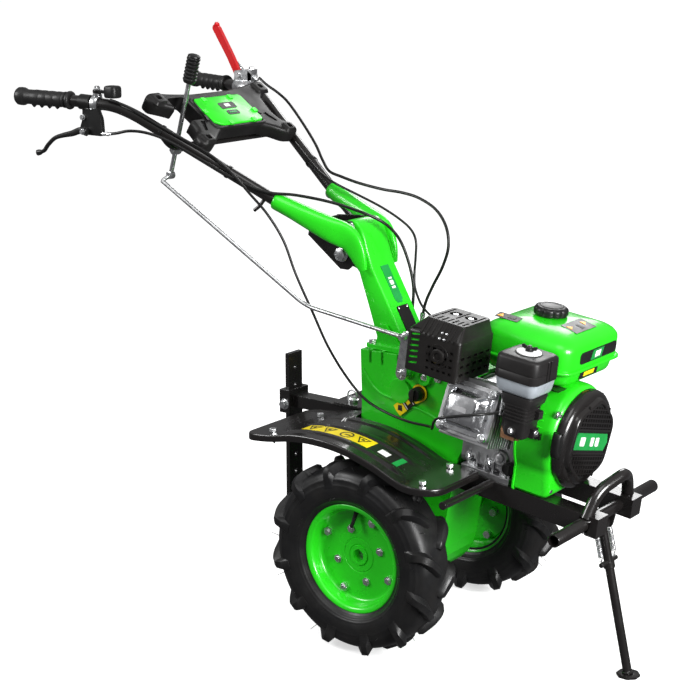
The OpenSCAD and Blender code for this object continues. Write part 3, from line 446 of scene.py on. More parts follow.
GREEN = (0.022, 0.66, 0.012)
green = enamel("green_enamel", GREEN, (0.014, 0.57, 0.008), 0.3, coat=0.3)
green_cad = enamel("green_enamel_cad", GREEN, (0.014, 0.57, 0.008), 0.3, 0.0015, 0.3)
green_plastic = plastic("green_plastic", (0.03, 0.68, 0.02), 0.32, 900, 0.15)
black = enamel("black_enamel", (0.009, 0.008, 0.008), (0.014, 0.012, 0.011), 0.24, coat=0.35)
black_cad = enamel("black_enamel_cad", (0.009, 0.008, 0.008), (0.014, 0.012, 0.011), 0.26, 0.0012, 0.35)
tray_black = plastic("tray_plastic", (0.008, 0.0075, 0.0075), 0.46, 1100, 0.3)
part_black = plastic("part_plastic", (0.008, 0.008, 0.008), 0.36, 1500, 0.2, edge=0.0008)
filter_grey = plastic("filter_plastic", (0.013, 0.012, 0.012), 0.40, 1300, 0.2)
bowl_grey = plastic("bowl_plastic", (0.30, 0.33, 0.36), 0.28, 500, 0.08)
white_plastic = plastic("white_plastic", (0.80, 0.81, 0.80), 0.3, 900, 0.1)
red_plastic = enamel("red_coating", (0.62, 0.006, 0.010), (0.45, 0.004, 0.006), 0.28)
zinc = bare_metal("zinc_plate", (0.80, 0.81, 0.82), 0.30, 700, 0.10)
zinc_cad = bare_metal("zinc_plate_cad", (0.80, 0.81, 0.82), 0.32, 700, 0.10, edge=0.0006)
steel = bare_metal("turned_steel", (0.50, 0.50, 0.51), 0.30, 500, 0.15, (1, 8, 1), edge=0.0006)
cast = bare_metal("die_cast", (0.50, 0.50, 0.51), 0.42, 260, 0.35)
cast_cad = bare_metal("die_cast_cad", (0.50, 0.50, 0.51), 0.42, 260, 0.35, edge=0.0015)
bright_cast = bare_metal("bright_cast", (0.82, 0.83, 0.85), 0.20, 240, 0.12)
copper = bare_metal("copper_bracket", (0.85, 0.46, 0.26), 0.38, 400, 0.15)
cable_black = plastic("cable_sheath", (0.008, 0.008, 0.008), 0.34, 700, 0.1)
# Near-black fill for hollows: painted shade, darker than the black parts.
shade_fill_black = plastic("painted_shade_inside", (0.004, 0.004, 0.004), 0.8)
label_dark = plastic("label_dark", (0.010, 0.010, 0.010), 0.30, 500, 0.05)
label_yellow = plastic("label_yellow", (0.80, 0.62, 0.01), 0.30, 500, 0.05)
label_white = plastic("label_white", (0.75, 0.76, 0.74), 0.30, 500, 0.05)
label_green = plastic("label_green", (0.012, 0.26, 0.05), 0.30, 500, 0.05)
label_orange = plastic("label_orange", (0.85, 0.38, 0.01), 0.30, 500, 0.05)


def rubber(name, colour, rough, dust, cells, depth):
    made = Finish(name, colour, rough)
    made.shader.inputs["Specular IOR Level"].default_value = 0.35
    made.mottled(26, dust, 0.55).uneven(40, 0.10).pebbled(cells, depth, 0.0003).grained(180, 0.25, 0.0005)
    return made.material


tyre_rubber = rubber("tyre_rubber", (0.009, 0.009, 0.0095), 0.40, (0.017, 0.016, 0.015), 600, 0.25)
grip_rubber = rubber("grip_rubber", (0.013, 0.013, 0.013), 0.40, (0.022, 0.021, 0.021), 450, 0.6)

# ---- camera, light and floor ----

CAMERA_AT = (1873, -2724.9, 1425.1)
CAMERA_TURN = math.radians(37.1)
CAMERA_TILT = math.radians(14.25)
LENS = 84.86


def studio():
    data = bpy.data.cameras.new("camera")
    data.lens, data.sensor_width, data.clip_end = LENS, 36, 200
    camera = bpy.data.objects.new("camera", data)
    camera.location = MACHINE @ Vector(CAMERA_AT)
    camera.rotation_euler = (math.pi / 2 - CAMERA_TILT, 0, CAMERA_TURN)
    bpy.context.scene.collection.objects.link(camera)
    bpy.context.scene.camera = camera

    world = bpy.data.worlds.new("studio")
    world.use_nodes = True
    tree = world.node_tree
    sky = tree.nodes["Background"]
    sky.inputs["Strength"].default_value = 0.36
    # A white ceiling over grey walls, so that bright metal has something to reflect.
    parts = tree.nodes.new("ShaderNodeSeparateXYZ")
    ramp = tree.nodes.new("ShaderNodeValToRGB")
    tree.links.new(tree.nodes.new("ShaderNodeTexCoord").outputs["Generated"], parts.inputs[0])
    tree.links.new(parts.outputs["Z"], ramp.inputs["Fac"])
    tree.links.new(ramp.outputs["Color"], sky.inputs["Color"])
    ramp.color_ramp.elements[0].position, ramp.color_ramp.elements[0].color = 0.05, (0.30, 0.30, 0.31, 1)
    ramp.color_ramp.elements[1].position, ramp.color_ramp.elements[1].color = 0.62, (1, 1, 1, 1)
    bpy.context.scene.world = world
    bpy.context.scene.view_settings.view_transform = "Standard"

    def lamp(name, kind, energy, place, target, size=None):
        light = bpy.data.lights.new(name, kind)
        light.energy = energy
        if kind == "AREA":
            light.shape, light.size = "DISK", size
        else:
            light.angle = size
        made = bpy.data.objects.new(name, light)
        made.location = place
        made.rotation_euler = (Vector(target) - Vector(place)).to_track_quat("-Z", "Y").to_euler()
        bpy.context.scene.collection.objects.link(made)

    lamp("key", "SUN", 0.75, (1.2, -3.2, 6), (0, 0, 0), math.radians(35))
    lamp("left_softbox", "AREA", 88, (-2.6, -2.6, 2.4), (0, 0, 0.6), 1.4)
    lamp("right_softbox", "AREA", 210, (3.6, -0.9, 1.5), (0.1, 0, 0.5), 1.6)
    lamp("back_softbox", "AREA", 40, (-1.0, 3.2, 2.6), (0, 0, 0.6), 1.6)

    mesh = bpy.data.meshes.new("floor")
    reach = 60
    mesh.from_pydata([(-reach, -reach, 0), (reach, -reach, 0), (reach, reach, 0), (-reach, reach, 0)], [],
                     [(0, 1, 2, 3)])
    floor = bpy.data.objects.new("floor", mesh)
    bpy.context.scene.collection.objects.link(floor)
    pale = Finish("pale_floor", (0.80, 0.80, 0.80), 0.7)
    pale.mottled(0.4, (0.78, 0.78, 0.78), 0.5)
    pale.shader.inputs["Emission Color"].default_value = (1, 1, 1, 1)
    pale.shader.inputs["Emission Strength"].default_value = 0.62
    mesh.materials.append(pale.material)
    floor.visible_diffuse = floor.visible_glossy = False

    # A white backdrop all round that only the camera sees.
    bm = bmesh.new()
    bmesh.ops.create_uvsphere(bm, u_segments=32, v_segments=16, radius=reach * 1.2)
    mesh = bpy.data.meshes.new("backdrop")
    bm.to_mesh(mesh)
    bm.free()
    dome = bpy.data.objects.new("backdrop", mesh)
    bpy.context.scene.collection.objects.link(dome)
    white = Finish("backdrop_white", (0, 0, 0), 1.0)
    white.shader.inputs["Emission Color"].default_value = (1, 1, 1, 1)
    white.shader.inputs["Emission Strength"].default_value = 1.0
    mesh.materials.append(white.material)
    for ray in ("diffuse", "glossy", "transmission", "volume_scatter", "shadow"):
        setattr(dome, "visible_" + ray, False)


studio()

# ---- CAD nodes that keep their shape ----

KEPT = {
    steel: ["ball_bearings", "final_gear", "idler_gear", "main_shaft", "input_shaft", "crankshaft",
            "axle_shaft", "muffler"],
    zinc_cad: ["frame_bolts", "pivot_pins", "rod_end_pin", "wheel_nuts"],
    cast_cad: ["flywheel_fan", "crankcase", "cylinder_head", "carburettor"],
    black_cad: ["frame_rails", "hitch_socket", "drawbar", "depth_bar", "pivot_yoke"],
    green_cad: ["gearbox_case_left", "gearbox_case_right"],
    part_black: ["recoil_reel"],
}
for material, names in KEPT.items():
    for name in names:
        node_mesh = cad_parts[name].data
        node_mesh.materials.clear()
        node_mesh.materials.append(material)

# ---- wheels ----

# Half of the casing's outside from the middle of the tread to the bead: (distance from the middle, radius).
CASING = [(0, 192), (12, 191.6), (24, 190), (35, 186.5), (43, 180.5), (48.3, 171), (51, 160), (52, 150),
          (51.3, 140), (48.5, 130), (43.5, 122), (38.5, 116.5), (35, 110), (33.5, 103)]
LUGS = 12
SOCKET_FLATS = 23.6


def casing_curve():
    """The casing's outside as (distance along, y, r, outward normal) from the tread's middle outwards."""
    path = spline(CASING, 5)
    out, gone = [], 0.0
    for i, p in enumerate(path):
        along = (path[min(i + 1, len(path) - 1)] - path[max(i - 1, 0)]).normalized()
        gone += (p - path[i - 1]).length if i else 0.0
        out.append((gone, p.x, p.y, (along.y * -1, along.x)))
    return out


def casing_at(curve, s):
    for one, two in zip(curve, curve[1:]):
        if s <= two[0]:
            t = (s - one[0]) / (two[0] - one[0])
            return lerp(one[1], two[1], t), lerp(one[2], two[2], t), lerp(Vector(one[3]), Vector(two[3]), t)
    return curve[-1][1], curve[-1][2], Vector(curve[-1][3])


def round_axle(y, r, angle):
    return Vector((r * math.sin(angle), y, r * math.cos(angle)))


def add_casing(shape, curve):
    ridges = ((124.5, 1.5, 1.0), (129.5, 1.2, 0.8), (156, 1.6, 0.7), (168, 2.0, 1.0))
    half = []
    for _, y, r, normal in curve:
        lift = sum(high * math.exp(-((r - at) / wide) ** 2) for at, wide, high in ridges) if y > 40 else 0
        half.append((y + normal[0] * lift, r + normal[1] * lift))
    section = [(-y, r) for y, r in reversed(half)] + half[1:] + [(26, 104), (0, 106), (-26, 104)]
    shape.lathe(section, direction=(0, 1, 0), steps=144, loop=True)


def add_lug(shape, curve, start, side):
    """One bar of the chevron tread, from the middle over the shoulder and down the side wall."""
    reach, lead = 74.0, math.radians(15)
    rings = []
    count = 16
    for k in range(count + 1):
        t = k / count
        s = 2 + reach * t
        y, r, normal = casing_at(curve, s)
        angle = start - lead * min(s, 46) / 46 - math.radians(1.5) * max(s - 46, 0) / 28
        foot = round_axle(side * y, r, angle)
        out = (round_axle(side * (y + normal.x), r + normal.y, angle) - foot).normalized()
        ahead = round_axle(side * casing_at(curve, s + 1)[0], casing_at(curve, s + 1)[1],
                           angle - (lead / 46 if s < 46 else 0))
        along = (ahead - foot).normalized()
        wide = along.cross(out).normalized()
        high = lerp(11.0, 14.5, smoothstep(t / 0.5)) * smoothstep((1.0 - t) / 0.5) + 1.0
        high *= smoothstep(t / 0.03 + 0.5)
        top = lerp(7.0, 9.5, t) * (0.6 if k == 0 else 1)
        base = top + lerp(3.5, 5.0, t)
        section = [(-base, -2), (-top - 0.6, high * 0.7), (-top + 1.6, high), (top - 1.6, high),
                   (top + 0.6, high * 0.7), (base, -2)]
        ring = []
        for across_path, lift in section:
            p = foot + wide * across_path + out * lift
            far = math.hypot(p.x, p.z)
            ring.append(p if far <= 202.6 else Vector((p.x * 202.6 / far, p.y, p.z * 202.6 / far)))
        rings.append(ring)
    shape.loft(rings)


def add_whiskers(shape, curve, rng):
    """The thin rubber nibs that moulding leaves; none where the tyre meets the ground."""
    for i in range(60):
        angle = math.radians(i * 6 + rng.uniform(-2, 2))
        if abs(math.degrees(angle) - 180) < 24:
            continue
        side = 1 if i % 4 else -1
        s = rng.choice((30, 38, 62, 98))
        y, r, normal = casing_at(curve, s)
        foot = round_axle(side * y, r, angle)
        out = (round_axle(side * (y + normal.x), r + normal.y, angle) - foot).normalized()
        lean = Vector((rng.uniform(-0.3, 0.3), rng.uniform(-0.2, 0.2), rng.uniform(-0.3, 0.3)))
        tip = foot + (out + lean).normalized() * (rng.uniform(7, 9) if s > 50 else 20)
        shape.tube([foot, (foot + tip) / 2 + lean * 1.5, tip], lambda t: 0.75 - 0.25 * t, 6)


def wheel(side):
    word = "left" if side > 0 else "right"
    place = wheel_place(side)
    curve = casing_curve()
    rng = random.Random(11 + side)

    shape = Shape()
    add_casing(shape, curve)
    for i in range(LUGS):
        add_lug(shape, curve, math.radians(i * 360 / LUGS), 1)
        add_lug(shape, curve, math.radians((i + 0.5) * 360 / LUGS), -1)
    add_whiskers(shape, curve, rng)
    piece("tyre_tread_" + word, shape, place, "wheels", tyre_rubber, ["tyre_" + word],
          angle=38)

    # The pressed rim: flange, drum, fillet, disc and back, then the hub with its hexagon socket.
    shape = Shape()
    face = [(36.5, 114.3)] + arc(35.4, 111.6, 2.8, 60, -10, 4) + [(37.4, 108), (36.2, 104.6), (33.2, 102.2),
                                                                 (27, 100.6), (20, 99.4), (15.5, 98.4)]
    fillet = [(12, 96.6), (9.8, 94.2), (8.6, 91), (8.2, 87)]
    disc = [(8.2, 60), (8.2, 37.6), (7.2, 36.8), (7.2, 35.6), (8.4, 34.8), (8.4, 23), (5, 20), (4, 20),
            (4, 92)]
    back = [(8, 96.5), (-14, 97), (-20, 101), (-30, 104), (-35, 108), (-36.5, 114.3), (-34.5, 114.3),
            (-33, 110),
            (-28, 106.5), (-20, 104), (-12, 99.5), (12, 99.8), (20, 103.6), (30, 106.5), (33.5, 111),
            (34.6, 114.3)]
    shape.lathe(face + fillet + disc + back, direction=(0, 1, 0), steps=120, loop=True)
    corner = SOCKET_FLATS / 2 / math.cos(math.pi / 6)
    hex_ring = [(corner * math.cos(math.pi * k / 3 + math.pi / 6),
                 corner * math.sin(math.pi * k / 3 + math.pi / 6))
                for k in range(6)]

    def hex_at(steps):
        out = []
        for k in range(steps):
            turn = 6 * k / steps
            i, t = int(turn), turn - int(turn)
            a, b = hex_ring[i % 6], hex_ring[(i + 1) % 6]
            out.append((lerp(a[0], b[0], t), lerp(a[1], b[1], t)))
        return out

    steps = 48
    circle = [(math.cos(2 * math.pi * k / steps + math.pi / 6),
               math.sin(2 * math.pi * k / steps + math.pi / 6))
              for k in range(steps)]
    inner = hex_at(steps)
    rings = [[(x * r, y, z * r) for x, z in circle]
             for y, r in ((-57.5, 20.5), (-57, 21.5), (9, 21.5), (10.5, 20.6))]
    rings += [[(x, y, z) for x, z in inner] for y in (10.5, -57.5)]
    shape.loft(rings, loop=True)
    piece("rim_pressing_" + word, shape, place, "wheels", green, ["rim_" + word], angle=40)

    # Valve stem, leaning out of the drum.
    shape = Shape()
    shape.lathe([(0, 6), (2, 5.6), (6, 4.6), (20, 4.2), (21, 3.4), (22, 4.1), (33, 4.1), (34, 3.6),
                 (34.5, 0.5)],
                (-1, 15, 95), (-0.12, 0.36, -0.92), 20)
    piece("valve_stem_" + word, shape, place, "wheels", part_black)


for side in (-1, 1):
    wheel(side)

# ---- fenders ----

FENDER_TOP = [(-262, 424), (-200, 430), (-130, 443), (-62, 445), (0, 438), (60, 421), (108, 402), (136, 393),
              (170, 391.5), (207, 391)]
SHEET = 2.5


def fender_height(x):
    path = spline(FENDER_TOP, 4)
    for one, two in zip(path, path[1:]):
        if one.x <= x <= two.x:
            return lerp(one.y, two.y, (x - one.x) / (two.x - one.x))
    return path[-1].y


FENDER_RIBS = (114, 170, 229)


def rib(x, y):
    """Height of the three pressed ribs, which fade at their ends."""
    ends = smoothstep((x + 180) / 30) * smoothstep((118 - x) / 30)
    return sum(3.2 * smoothstep(1.6 - abs(y - at) / 7) for at in FENDER_RIBS) * ends


def fender(side):
    word = "left" if side > 0 else "right"
    place = MACHINE if side > 0 else MACHINE @ MIRRORED
    low_x, high_x, out_y, rear_corner, front_corner = -262, 207, 262, 26, 46

    def cut(depth, corner):
        return corner - math.sqrt(max(corner ** 2 - (corner - min(depth, corner)) ** 2, 0))

    def y_range(x):
        near = 42 + 50 * smoothstep((x + 118) / 14)
        rear, front = cut(x - low_x, rear_corner), cut(high_x - x, front_corner)
        return near + max(rear, front * 0.3), out_y - max(rear, front)

    xs = [low_x + 0.4, low_x + 2, low_x + 5, low_x + 10, low_x + 17]
    xs += [lerp(low_x + 25, high_x - 45, k / 72) for k in range(73)]
    xs += [high_x - d for d in (39, 33, 27, 22, 17, 13, 9, 6, 3.5, 1.8, 0.6)]
    across_steps = 72
    part = bmesh.new()
    rows = []
    for x in xs:
        a, b = y_range(x)
        row = []
        for k in range(across_steps + 1):
            y = lerp(a, b, k / across_steps)
            row.append(part.verts.new((x, y, fender_height(x) + rib(x, y))))
        rows.append(row)
    edge = rows[0] + [row[-1] for row in rows[1:-1]] + rows[-1][::-1]
    outward = []
    for i in range(len(edge)):
        way = edge[min(i + 1, len(edge) - 1)].co - edge[max(i - 1, 0)].co
        outward.append(Vector((-way.y, way.x, 0)).normalized())
    rings = [edge]
    for out, drop in ((0.8, -0.4), (1.6, -1.6), (2.0, -4.5), (2.0, -13), (1.2, -14.5), (-0.6, -15)):
        rings.append([part.verts.new(v.co + n * out + Vector((0, 0, drop))) for v, n in zip(edge, outward)])
    for one, two in list(zip(rows, rows[1:])) + list(zip(rings, rings[1:])):
        for i in range(len(one) - 1):
            part.faces.new((one[i], two[i], two[i + 1], one[i + 1]))
    bmesh.ops.recalc_face_normals(part, faces=part.faces)
    if sum(f.normal.z for f in part.faces) < 0:
        bmesh.ops.reverse_faces(part, faces=part.faces)
    bmesh.ops.solidify(part, geom=part.faces[:], thickness=SHEET * 0.8)
    shape = Shape()
    shape.take(part)
    # The little gusset under the rear edge.
    shape.prism([(-205, 426), (-238, 426), (-205, 404)], 232, 235, "xz", bevel=0.6)
    piece("fender_sheet_" + word, shape, place, "chassis", black, ["fender_" + word], angle=45)

    # Stickers laid on the sheet.
    def sticker(name, x0, x1, y0, y1, material, lift=0.5):
        strip = Shape()
        rings = []
        count = 28
        for k in range(count + 1):
            x = lerp(x0, x1, k / count)
            z = fender_height(x) + lift
            rings.append([(x, y0, z), (x, y1, z), (x, y1, z - 0.5), (x, y0, z - 0.5)])
        strip.loft(rings)
        return piece(name + "_" + word, strip, place, "chassis", material)

    sticker("yellow_sticker", -150, 20, 181, 220, label_yellow)
    for i, x in enumerate((-128, -90, -44, -6)):
        mark = Shape()
        z = fender_height(x) + 0.6
        slope = (fender_height(x + 12) - fender_height(x - 12)) / 24
        if i == 2:
            mark.lathe([(0, 15), (0.3, 15), (0.3, 12), (0, 12)], (x, 200, z), (-slope, 0, 1), 40, loop=True)
            mark.box((x - 9, 198, z - 0.1), (x + 9, 202, z + 0.3))
        else:
            outer = [(x - 15, 188), (x + 15, 188), (x, 215)]
            inner = inset(outer, 2.4)
            mark.loft([[(u, v, w + (u - x) * slope) for u, v in ring] for ring, w in
                       ((outer, z - 0.1), (outer, z + 0.3), (inner, z + 0.3), (inner, z - 0.1))], loop=True)
            mark.lathe([(0, 3.6), (0.4, 3.6)], (x, 197, z), (-slope, 0, 1), 20)
        piece("sticker_mark_%d_%s" % (i, word), mark, place, "chassis", label_dark)
    sticker("dark_sticker", 20, 92, 181, 220, label_dark)
    sticker("green_bar", 80, 92, 182, 219, label_green, 0.8)
    sticker("white_mark", 40, 62, 194, 212, label_white, 0.8)


for side in (-1, 1):
    fender(side)

# ---- engine, in the LEANING frame ----

def plain_label(name, outline, height, plane, material, place=LEANING, body="chassis",
                thick=0.5):
    """A thin flat sticker or plate."""
    shape = Shape()
    shape.prism(outline, height - 0.3, height + thick, plane, bevel=min(0.2, thick * 0.4), segments=1)
    return piece(name, shape, place, body, material)


def fuel_tank():
    low, high = (122, -70), (326, 150)
    shape = Shape()
    shape.pillow(low, high, 34, [(446, 2), (448, 0.4), (452, 0), (484, 0), (490, 1), (495, 3.5), (500, 8),
                                 (504, 14),
                                 (508, 22), (511.5, 33), (514.5, 48), (516.5, 66), (517.4, 84)])
    shape.pillow((low[0] - 5, low[1] - 5), (high[0] + 5, high[1] + 5), 34,
                 [(443.4, 1.4), (444, 0.4), (445, 0), (447, 0), (448, 0.4), (448.6, 1.4), (449.4, 5.5)])
    shape.pillow((low[0] + 6, low[1] + 6), (high[0] - 6, high[1] - 6), 32,
                 [(414, 14), (415.5, 9), (419, 5), (424, 2.5), (432, 0.8), (440, 0), (445, -1)])
    shape.lathe([(500, 30), (514.5, 29.6), (516, 28), (518, 26.5), (520.6, 26.2), (521.2, 25.5)],
                (213, 45, 0), steps=64)
    piece("fuel_tank_shell", shape, LEANING, "chassis", green, ["fuel_tank"], angle=48)

    # Stickers on the tank: two on top with plain triangles, a wide one and a small one in front.
    def on_top(name, a, b, z, turn, marks):
        place = LEANING @ Matrix.Translation(((a[0] + b[0]) / 2, (a[1] + b[1]) / 2,
                                              z)) @ Matrix.Rotation(turn, 4, "Z")
        place = place @ Matrix.Rotation(math.radians(marks[0]), 4, marks[1])
        w, h = (b[0] - a[0]) / 2, (b[1] - a[1]) / 2
        plain_label(name, soft_rect((-w, -h), (w, h), 2), 0, "xy", label_dark, place)
        for i, (x, y) in enumerate(marks[2]):
            plain_label("%s_triangle_%d" % (name, i), [(x - 7, y - 6), (x + 7, y - 6), (x, y + 7)], 0.7, "xy",
                        label_orange, place)
        for i, (x, y) in enumerate(marks[3]):
            plain_label("%s_bars_%d" % (name, i),
                        [(x - 8, y - 4), (x + 8, y - 4), (x + 8, y + 4), (x - 8, y + 4)],
                        0.6, "xy", filter_grey, place)

    on_top("tank_label_rear", (136, -40), (188, -18), 513.6, 0, (10.5, "X", [(-16, 0)], [(8, 0)]))
    on_top("tank_label_front", (262, 0), (300, 78), 514.0, 0, (10.4, "Y", [(-3, -27), (-3, 25)], [(3, 0)]))
    plain_label("tank_badge", soft_rect((-22, 458), (122, 482), 9), -326.4, "yz", label_dark,
                LEANING @ Matrix.Scale(-1, 4, (1, 0, 0)))
    plain_label("tank_badge_patch", [(20, 460.5), (62, 460.5), (70, 479.5), (28, 479.5)], -327, "yz",
                label_green,
                LEANING @ Matrix.Scale(-1, 4, (1, 0, 0)))
    plain_label("tank_badge_mark", [(34, 464), (54, 464), (58, 476), (38, 476)], -327.4, "yz", label_white,
                LEANING @ Matrix.Scale(-1, 4, (1, 0, 0)))
    plain_label("tank_small_label", [(-4, 424), (64, 424), (68, 439), (0, 439)], -320.4, "yz", label_dark,
                LEANING @ Matrix.Scale(-1, 4, (1, 0, 0)))
    plain_label("tank_small_stripe", [(10, 427.5), (50, 427.5), (54, 435.5), (14, 435.5)], -320.9, "yz",
                label_yellow,
                LEANING @ Matrix.Scale(-1, 4, (1, 0, 0)))


def lobed(shape, at, lobes, levels, steps=144):
    """A turned knob whose rim swells into lobes: [(height, radius, swell), ...]."""
    rings = []
    for z, r, swell in levels:
        ring = []
        for k in range(steps):
            a = 2 * math.pi * k / steps
            wave = abs(math.cos(lobes * a / 2)) ** 0.55
            ring.append((at[0] + (r - swell * (1 - wave)) * math.cos(a),
                         at[1] + (r - swell * (1 - wave)) * math.sin(a),
                         at[2] + z))
        rings.append(ring)
    shape.loft(rings)


def fuel_cap():
    shape = Shape()
    lobed(shape, (213, 45, 519), 10,
          [(0, 31, 1), (0.8, 33.5, 2.4), (2.5, 34.6, 3.4), (11, 34.6, 3.6), (14, 33.6, 3.2),
                                      (16.2, 31, 2), (17.4, 28, 0.8), (17.8, 26, 0)])
    shape.lathe([(17, 25), (18.4, 24), (19, 22), (18.8, 19), (17.9, 17.5), (17.7, 0.5)], (213, 45, 519),
                steps=64)
    shape.lathe([(503, 19), (521, 20)], (213, 45, 0))
    piece("fuel_cap_knob", shape, LEANING, "fuel_cap", part_black, ["fuel_cap"], angle=40)
    shape = Shape()
    shape.lathe([(512.6, 30.2), (514, 30.6), (516.2, 30.4), (517.4, 28)], (213, 45, 0), steps=64)
    piece("fuel_neck_collar", shape, LEANING, "chassis", green)


fuel_tank()
fuel_cap()


def muffler_guard():
    a, b = (42, -200, 410), (164, -76, 518)
    shape = Shape()
    steps = [(a[2], 1), (a[2] + 1, 0), (488, 0), (491, 0.8), (494, 2.5)]
    rings = [[(u, v, w) for u, v in soft_rect((a[0] + d, a[1] + d), (b[0] - d, b[1] - d), 9)]
             for w, d in steps]
    for w, t in ((505, 0.5), (514, 0.9), (516.6, 1.0), (518, 1.06)):
        lo = (lerp(a[0] + 2.5, 66, t), lerp(a[1] + 2.5, -176, t))
        hi = (lerp(b[0] - 2.5, 154, t), lerp(b[1] - 2.5, -80, t))
        rings.append([(u, v, w) for u, v in soft_rect(lo, hi, 8)])
    shape.loft(rings)
    obj = piece("muffler_guard_shell", shape, LEANING, "chassis", guard_black,
                ["muffler_guard"],
                angle=42)
    cut = Shape()
    # Slanted louvres on the near face, slots on the top and two round openings.
    for i in range(7):
        z = 424 + i * 11.5
        cut.prism([(52, z), (72, z + 4), (72, z + 8.6), (52, z + 4.6)], -210, -194, "xz")
    for i in range(4):
        for k in range(5):
            cut.box((92 + k * 13, -204, 424 + i * 14), (100 + k * 13, -196.5, 429 + i * 14))
    for i in range(7):
        x = 74 + i * 11.6
        cut.box((x, -170, 514.5), (x + 4.6, -146, 520))
        if i in (0, 3, 6):
            cut.box((x, -140, 514.5), (x + 4.6, -88, 520))
    for i in range(5):
        cut.box((157, -190 + i * 22, 424), (168, -178 + i * 22, 429))
        cut.box((157, -190 + i * 22, 440), (168, -178 + i * 22, 445))
        cut.box((157, -190 + i * 22, 456), (168, -178 + i * 22, 461))
    for x in (94, 129):
        cut.lathe([(511, 12.5), (520, 12.5)], (x, -114, 0), steps=48)
    carve(obj, cut, LEANING)

    shape = Shape()
    for x in (94, 129):
        shape.bolt((x, -114, 511), (0, 0, 1), 12, 5, washer=9)
    for x, z in ((118, 500.5), (128, 500.5), (118, 491), (128, 491)):
        shape.lathe([(0, 3.0), (1.2, 2.6), (1.9, 1.2)], (x, -200.5 if z < 495 else -193, z), (0, -1, 0.35),
                    16)
    piece("guard_bolts", shape, LEANING, "chassis", zinc)
    shape = Shape()
    # Ribs over the chamfer and a round boss.
    for i in range(8):
        x = 72 + i * 11
        shape.prism([(-200.5, 488), (-200.5, 494), (-177, 517), (-174, 517), (-196, 488)], x, x + 3.4, "yz",
                    bevel=0.8)
    for i in range(5):
        y = -168 + i * 18
        shape.prism([(42.2, 488), (42.2, 494), (66, 517), (69, 517), (48, 488)], y, y + 3.4, "xz", bevel=0.8)
    shape.lathe([(0, 15), (3.2, 14.4), (4.2, 13), (4.2, 8.5), (1.5, 7.6), (1.5, 0.5)], (118, -199.5, 455),
                (0, -1, 0), 40)
    shape.lathe([(0, 24), (1.2, 23.6), (1.2, 21), (0, 20.6)], (118, -199.5, 455), (0, -1, 0), 48)
    piece("guard_ribs", shape, LEANING, "chassis", guard_black)
    shape = Shape()
    shape.box((50, -197.2, 418), (74, -194.4, 488))
    piece("guard_back_plate", shape, LEANING, "chassis", green)


guard_black = plastic("guard_black", (0.010, 0.009, 0.0085), 0.34, 700, 0.25)
muffler_guard()


def air_filter():
    shape = Shape()
    shape.pillow((235, -191), (329, -99), 16,
                 [(450.3, 1.6), (451, 0.3), (452, 0), (466, 0), (467, 0.9), (468, 0.9),
                                               (469, 0), (490, 0.6), (493.5, 2), (496, 5), (497, 8),
                                               (497.2, 12)])
    shape.lathe([(494, 27), (497.4, 26.6), (498.2, 25.4), (498.2, 20)], (282, -145, 0), steps=64)
    for y in (-150, -140):
        shape.box((328.4, y, 453), (330.2, y + 3.5, 492), 0.7)
    piece("filter_lid", shape, LEANING, "chassis", filter_grey, ["air_filter_lid"], angle=42)
    shape = Shape()
    shape.pillow((238, -188), (326, -102), 14,
                 [(421.6, 9), (423, 6), (427, 3.4), (434, 1.6), (446, 0), (450.1, 0)])
    piece("filter_bowl", shape, LEANING, "chassis", bowl_grey, ["air_filter_bowl"], angle=48)
    shape = Shape()
    shape.lathe([(498, 23.5), (498.8, 24), (500.4, 23.6), (501, 21), (501.2, 10)], (282, -145, 0), steps=64)
    piece("filter_disc", shape, LEANING, "chassis", white_plastic, ["wing_nut"])
    shape = Shape()
    shape.lathe([(500, 7.5), (502, 8), (507, 6.4), (508, 5), (509.5, 4), (512, 3.6)], (282, -145, 0),
                steps=32)
    for s in (-1, 1):
        shape.prism([(282 + s * 4, 502.5), (282 + s * 15, 505.5), (282 + s * 17, 511), (282 + s * 13, 512.4),
                     (282 + s * 4, 508)], -147, -143, "xz", bevel=1)
    piece("filter_wing_nut", shape, LEANING, "chassis", part_black)

    # The ribbed duct below, with its two screws.
    shape = Shape()
    rings = []
    for z, x0, x1, y0, y1, r in ((337, 274, 308, -176, -134, 5), (340, 268, 312, -180, -130, 8),
                                 (352, 264, 314, -182, -127, 9), (398, 262, 315, -183, -124, 10),
                                 (404, 256, 319, -184, -116, 12), (418, 252, 322, -184.5, -112, 13),
                                 (421.4, 253, 321, -184, -113, 12)):
        rings.append([(u, v, z) for u, v in soft_rect((x0, y0), (x1, y1), r)])
    shape.loft(rings)
    for i in range(5):
        z = 372 + i * 7
        shape.pillow((262.8, -184), (315.4, -124.6), 10,
                     [(z, 1), (z + 0.8, -0.6), (z + 2.4, -0.6), (z + 3.2, 1)])
    shape.lathe([(0, 9), (3, 8.6), (3.6, 7)], (288, -181, 352), (0, -1, 0), 32)
    shape.lathe([(0, 8), (3, 7.6), (3.6, 6)], (311.5, -146, 352), (1, 0, 0), 32)
    shape.box((312, -150, 376), (324, -134, 392), 2)
    shape.box((308, -158, 340), (322, -140, 358), 3)
    piece("filter_duct", shape, LEANING, "chassis", filter_grey, ["air_filter_elbow"],
          angle=42)
    shape = Shape()
    shape.bolt((288, -184.5, 352), (0, -1, 0), 9, 4, washer=6.5)
    shape.bolt((322, -149, 349), (1, 0, 0), 9, 4, washer=6.5)
    piece("duct_screws", shape, LEANING, "chassis", zinc)


air_filter()


def shroud_ring(d, half=92, r=107, low=198):
    """The blower housing's outline: a circle standing on a box."""
    half, r, low = half - d, r - d, low + d
    rise = math.degrees(math.acos(half / r))
    ring = [(-half + 6, low), (half - 6, low), (half, low + 6), (half, CRANK - 62)]
    ring += arc(0, CRANK, r, -rise, 180 + rise, 60)
    return ring + [(-half, CRANK - 62), (-half, low + 6)]


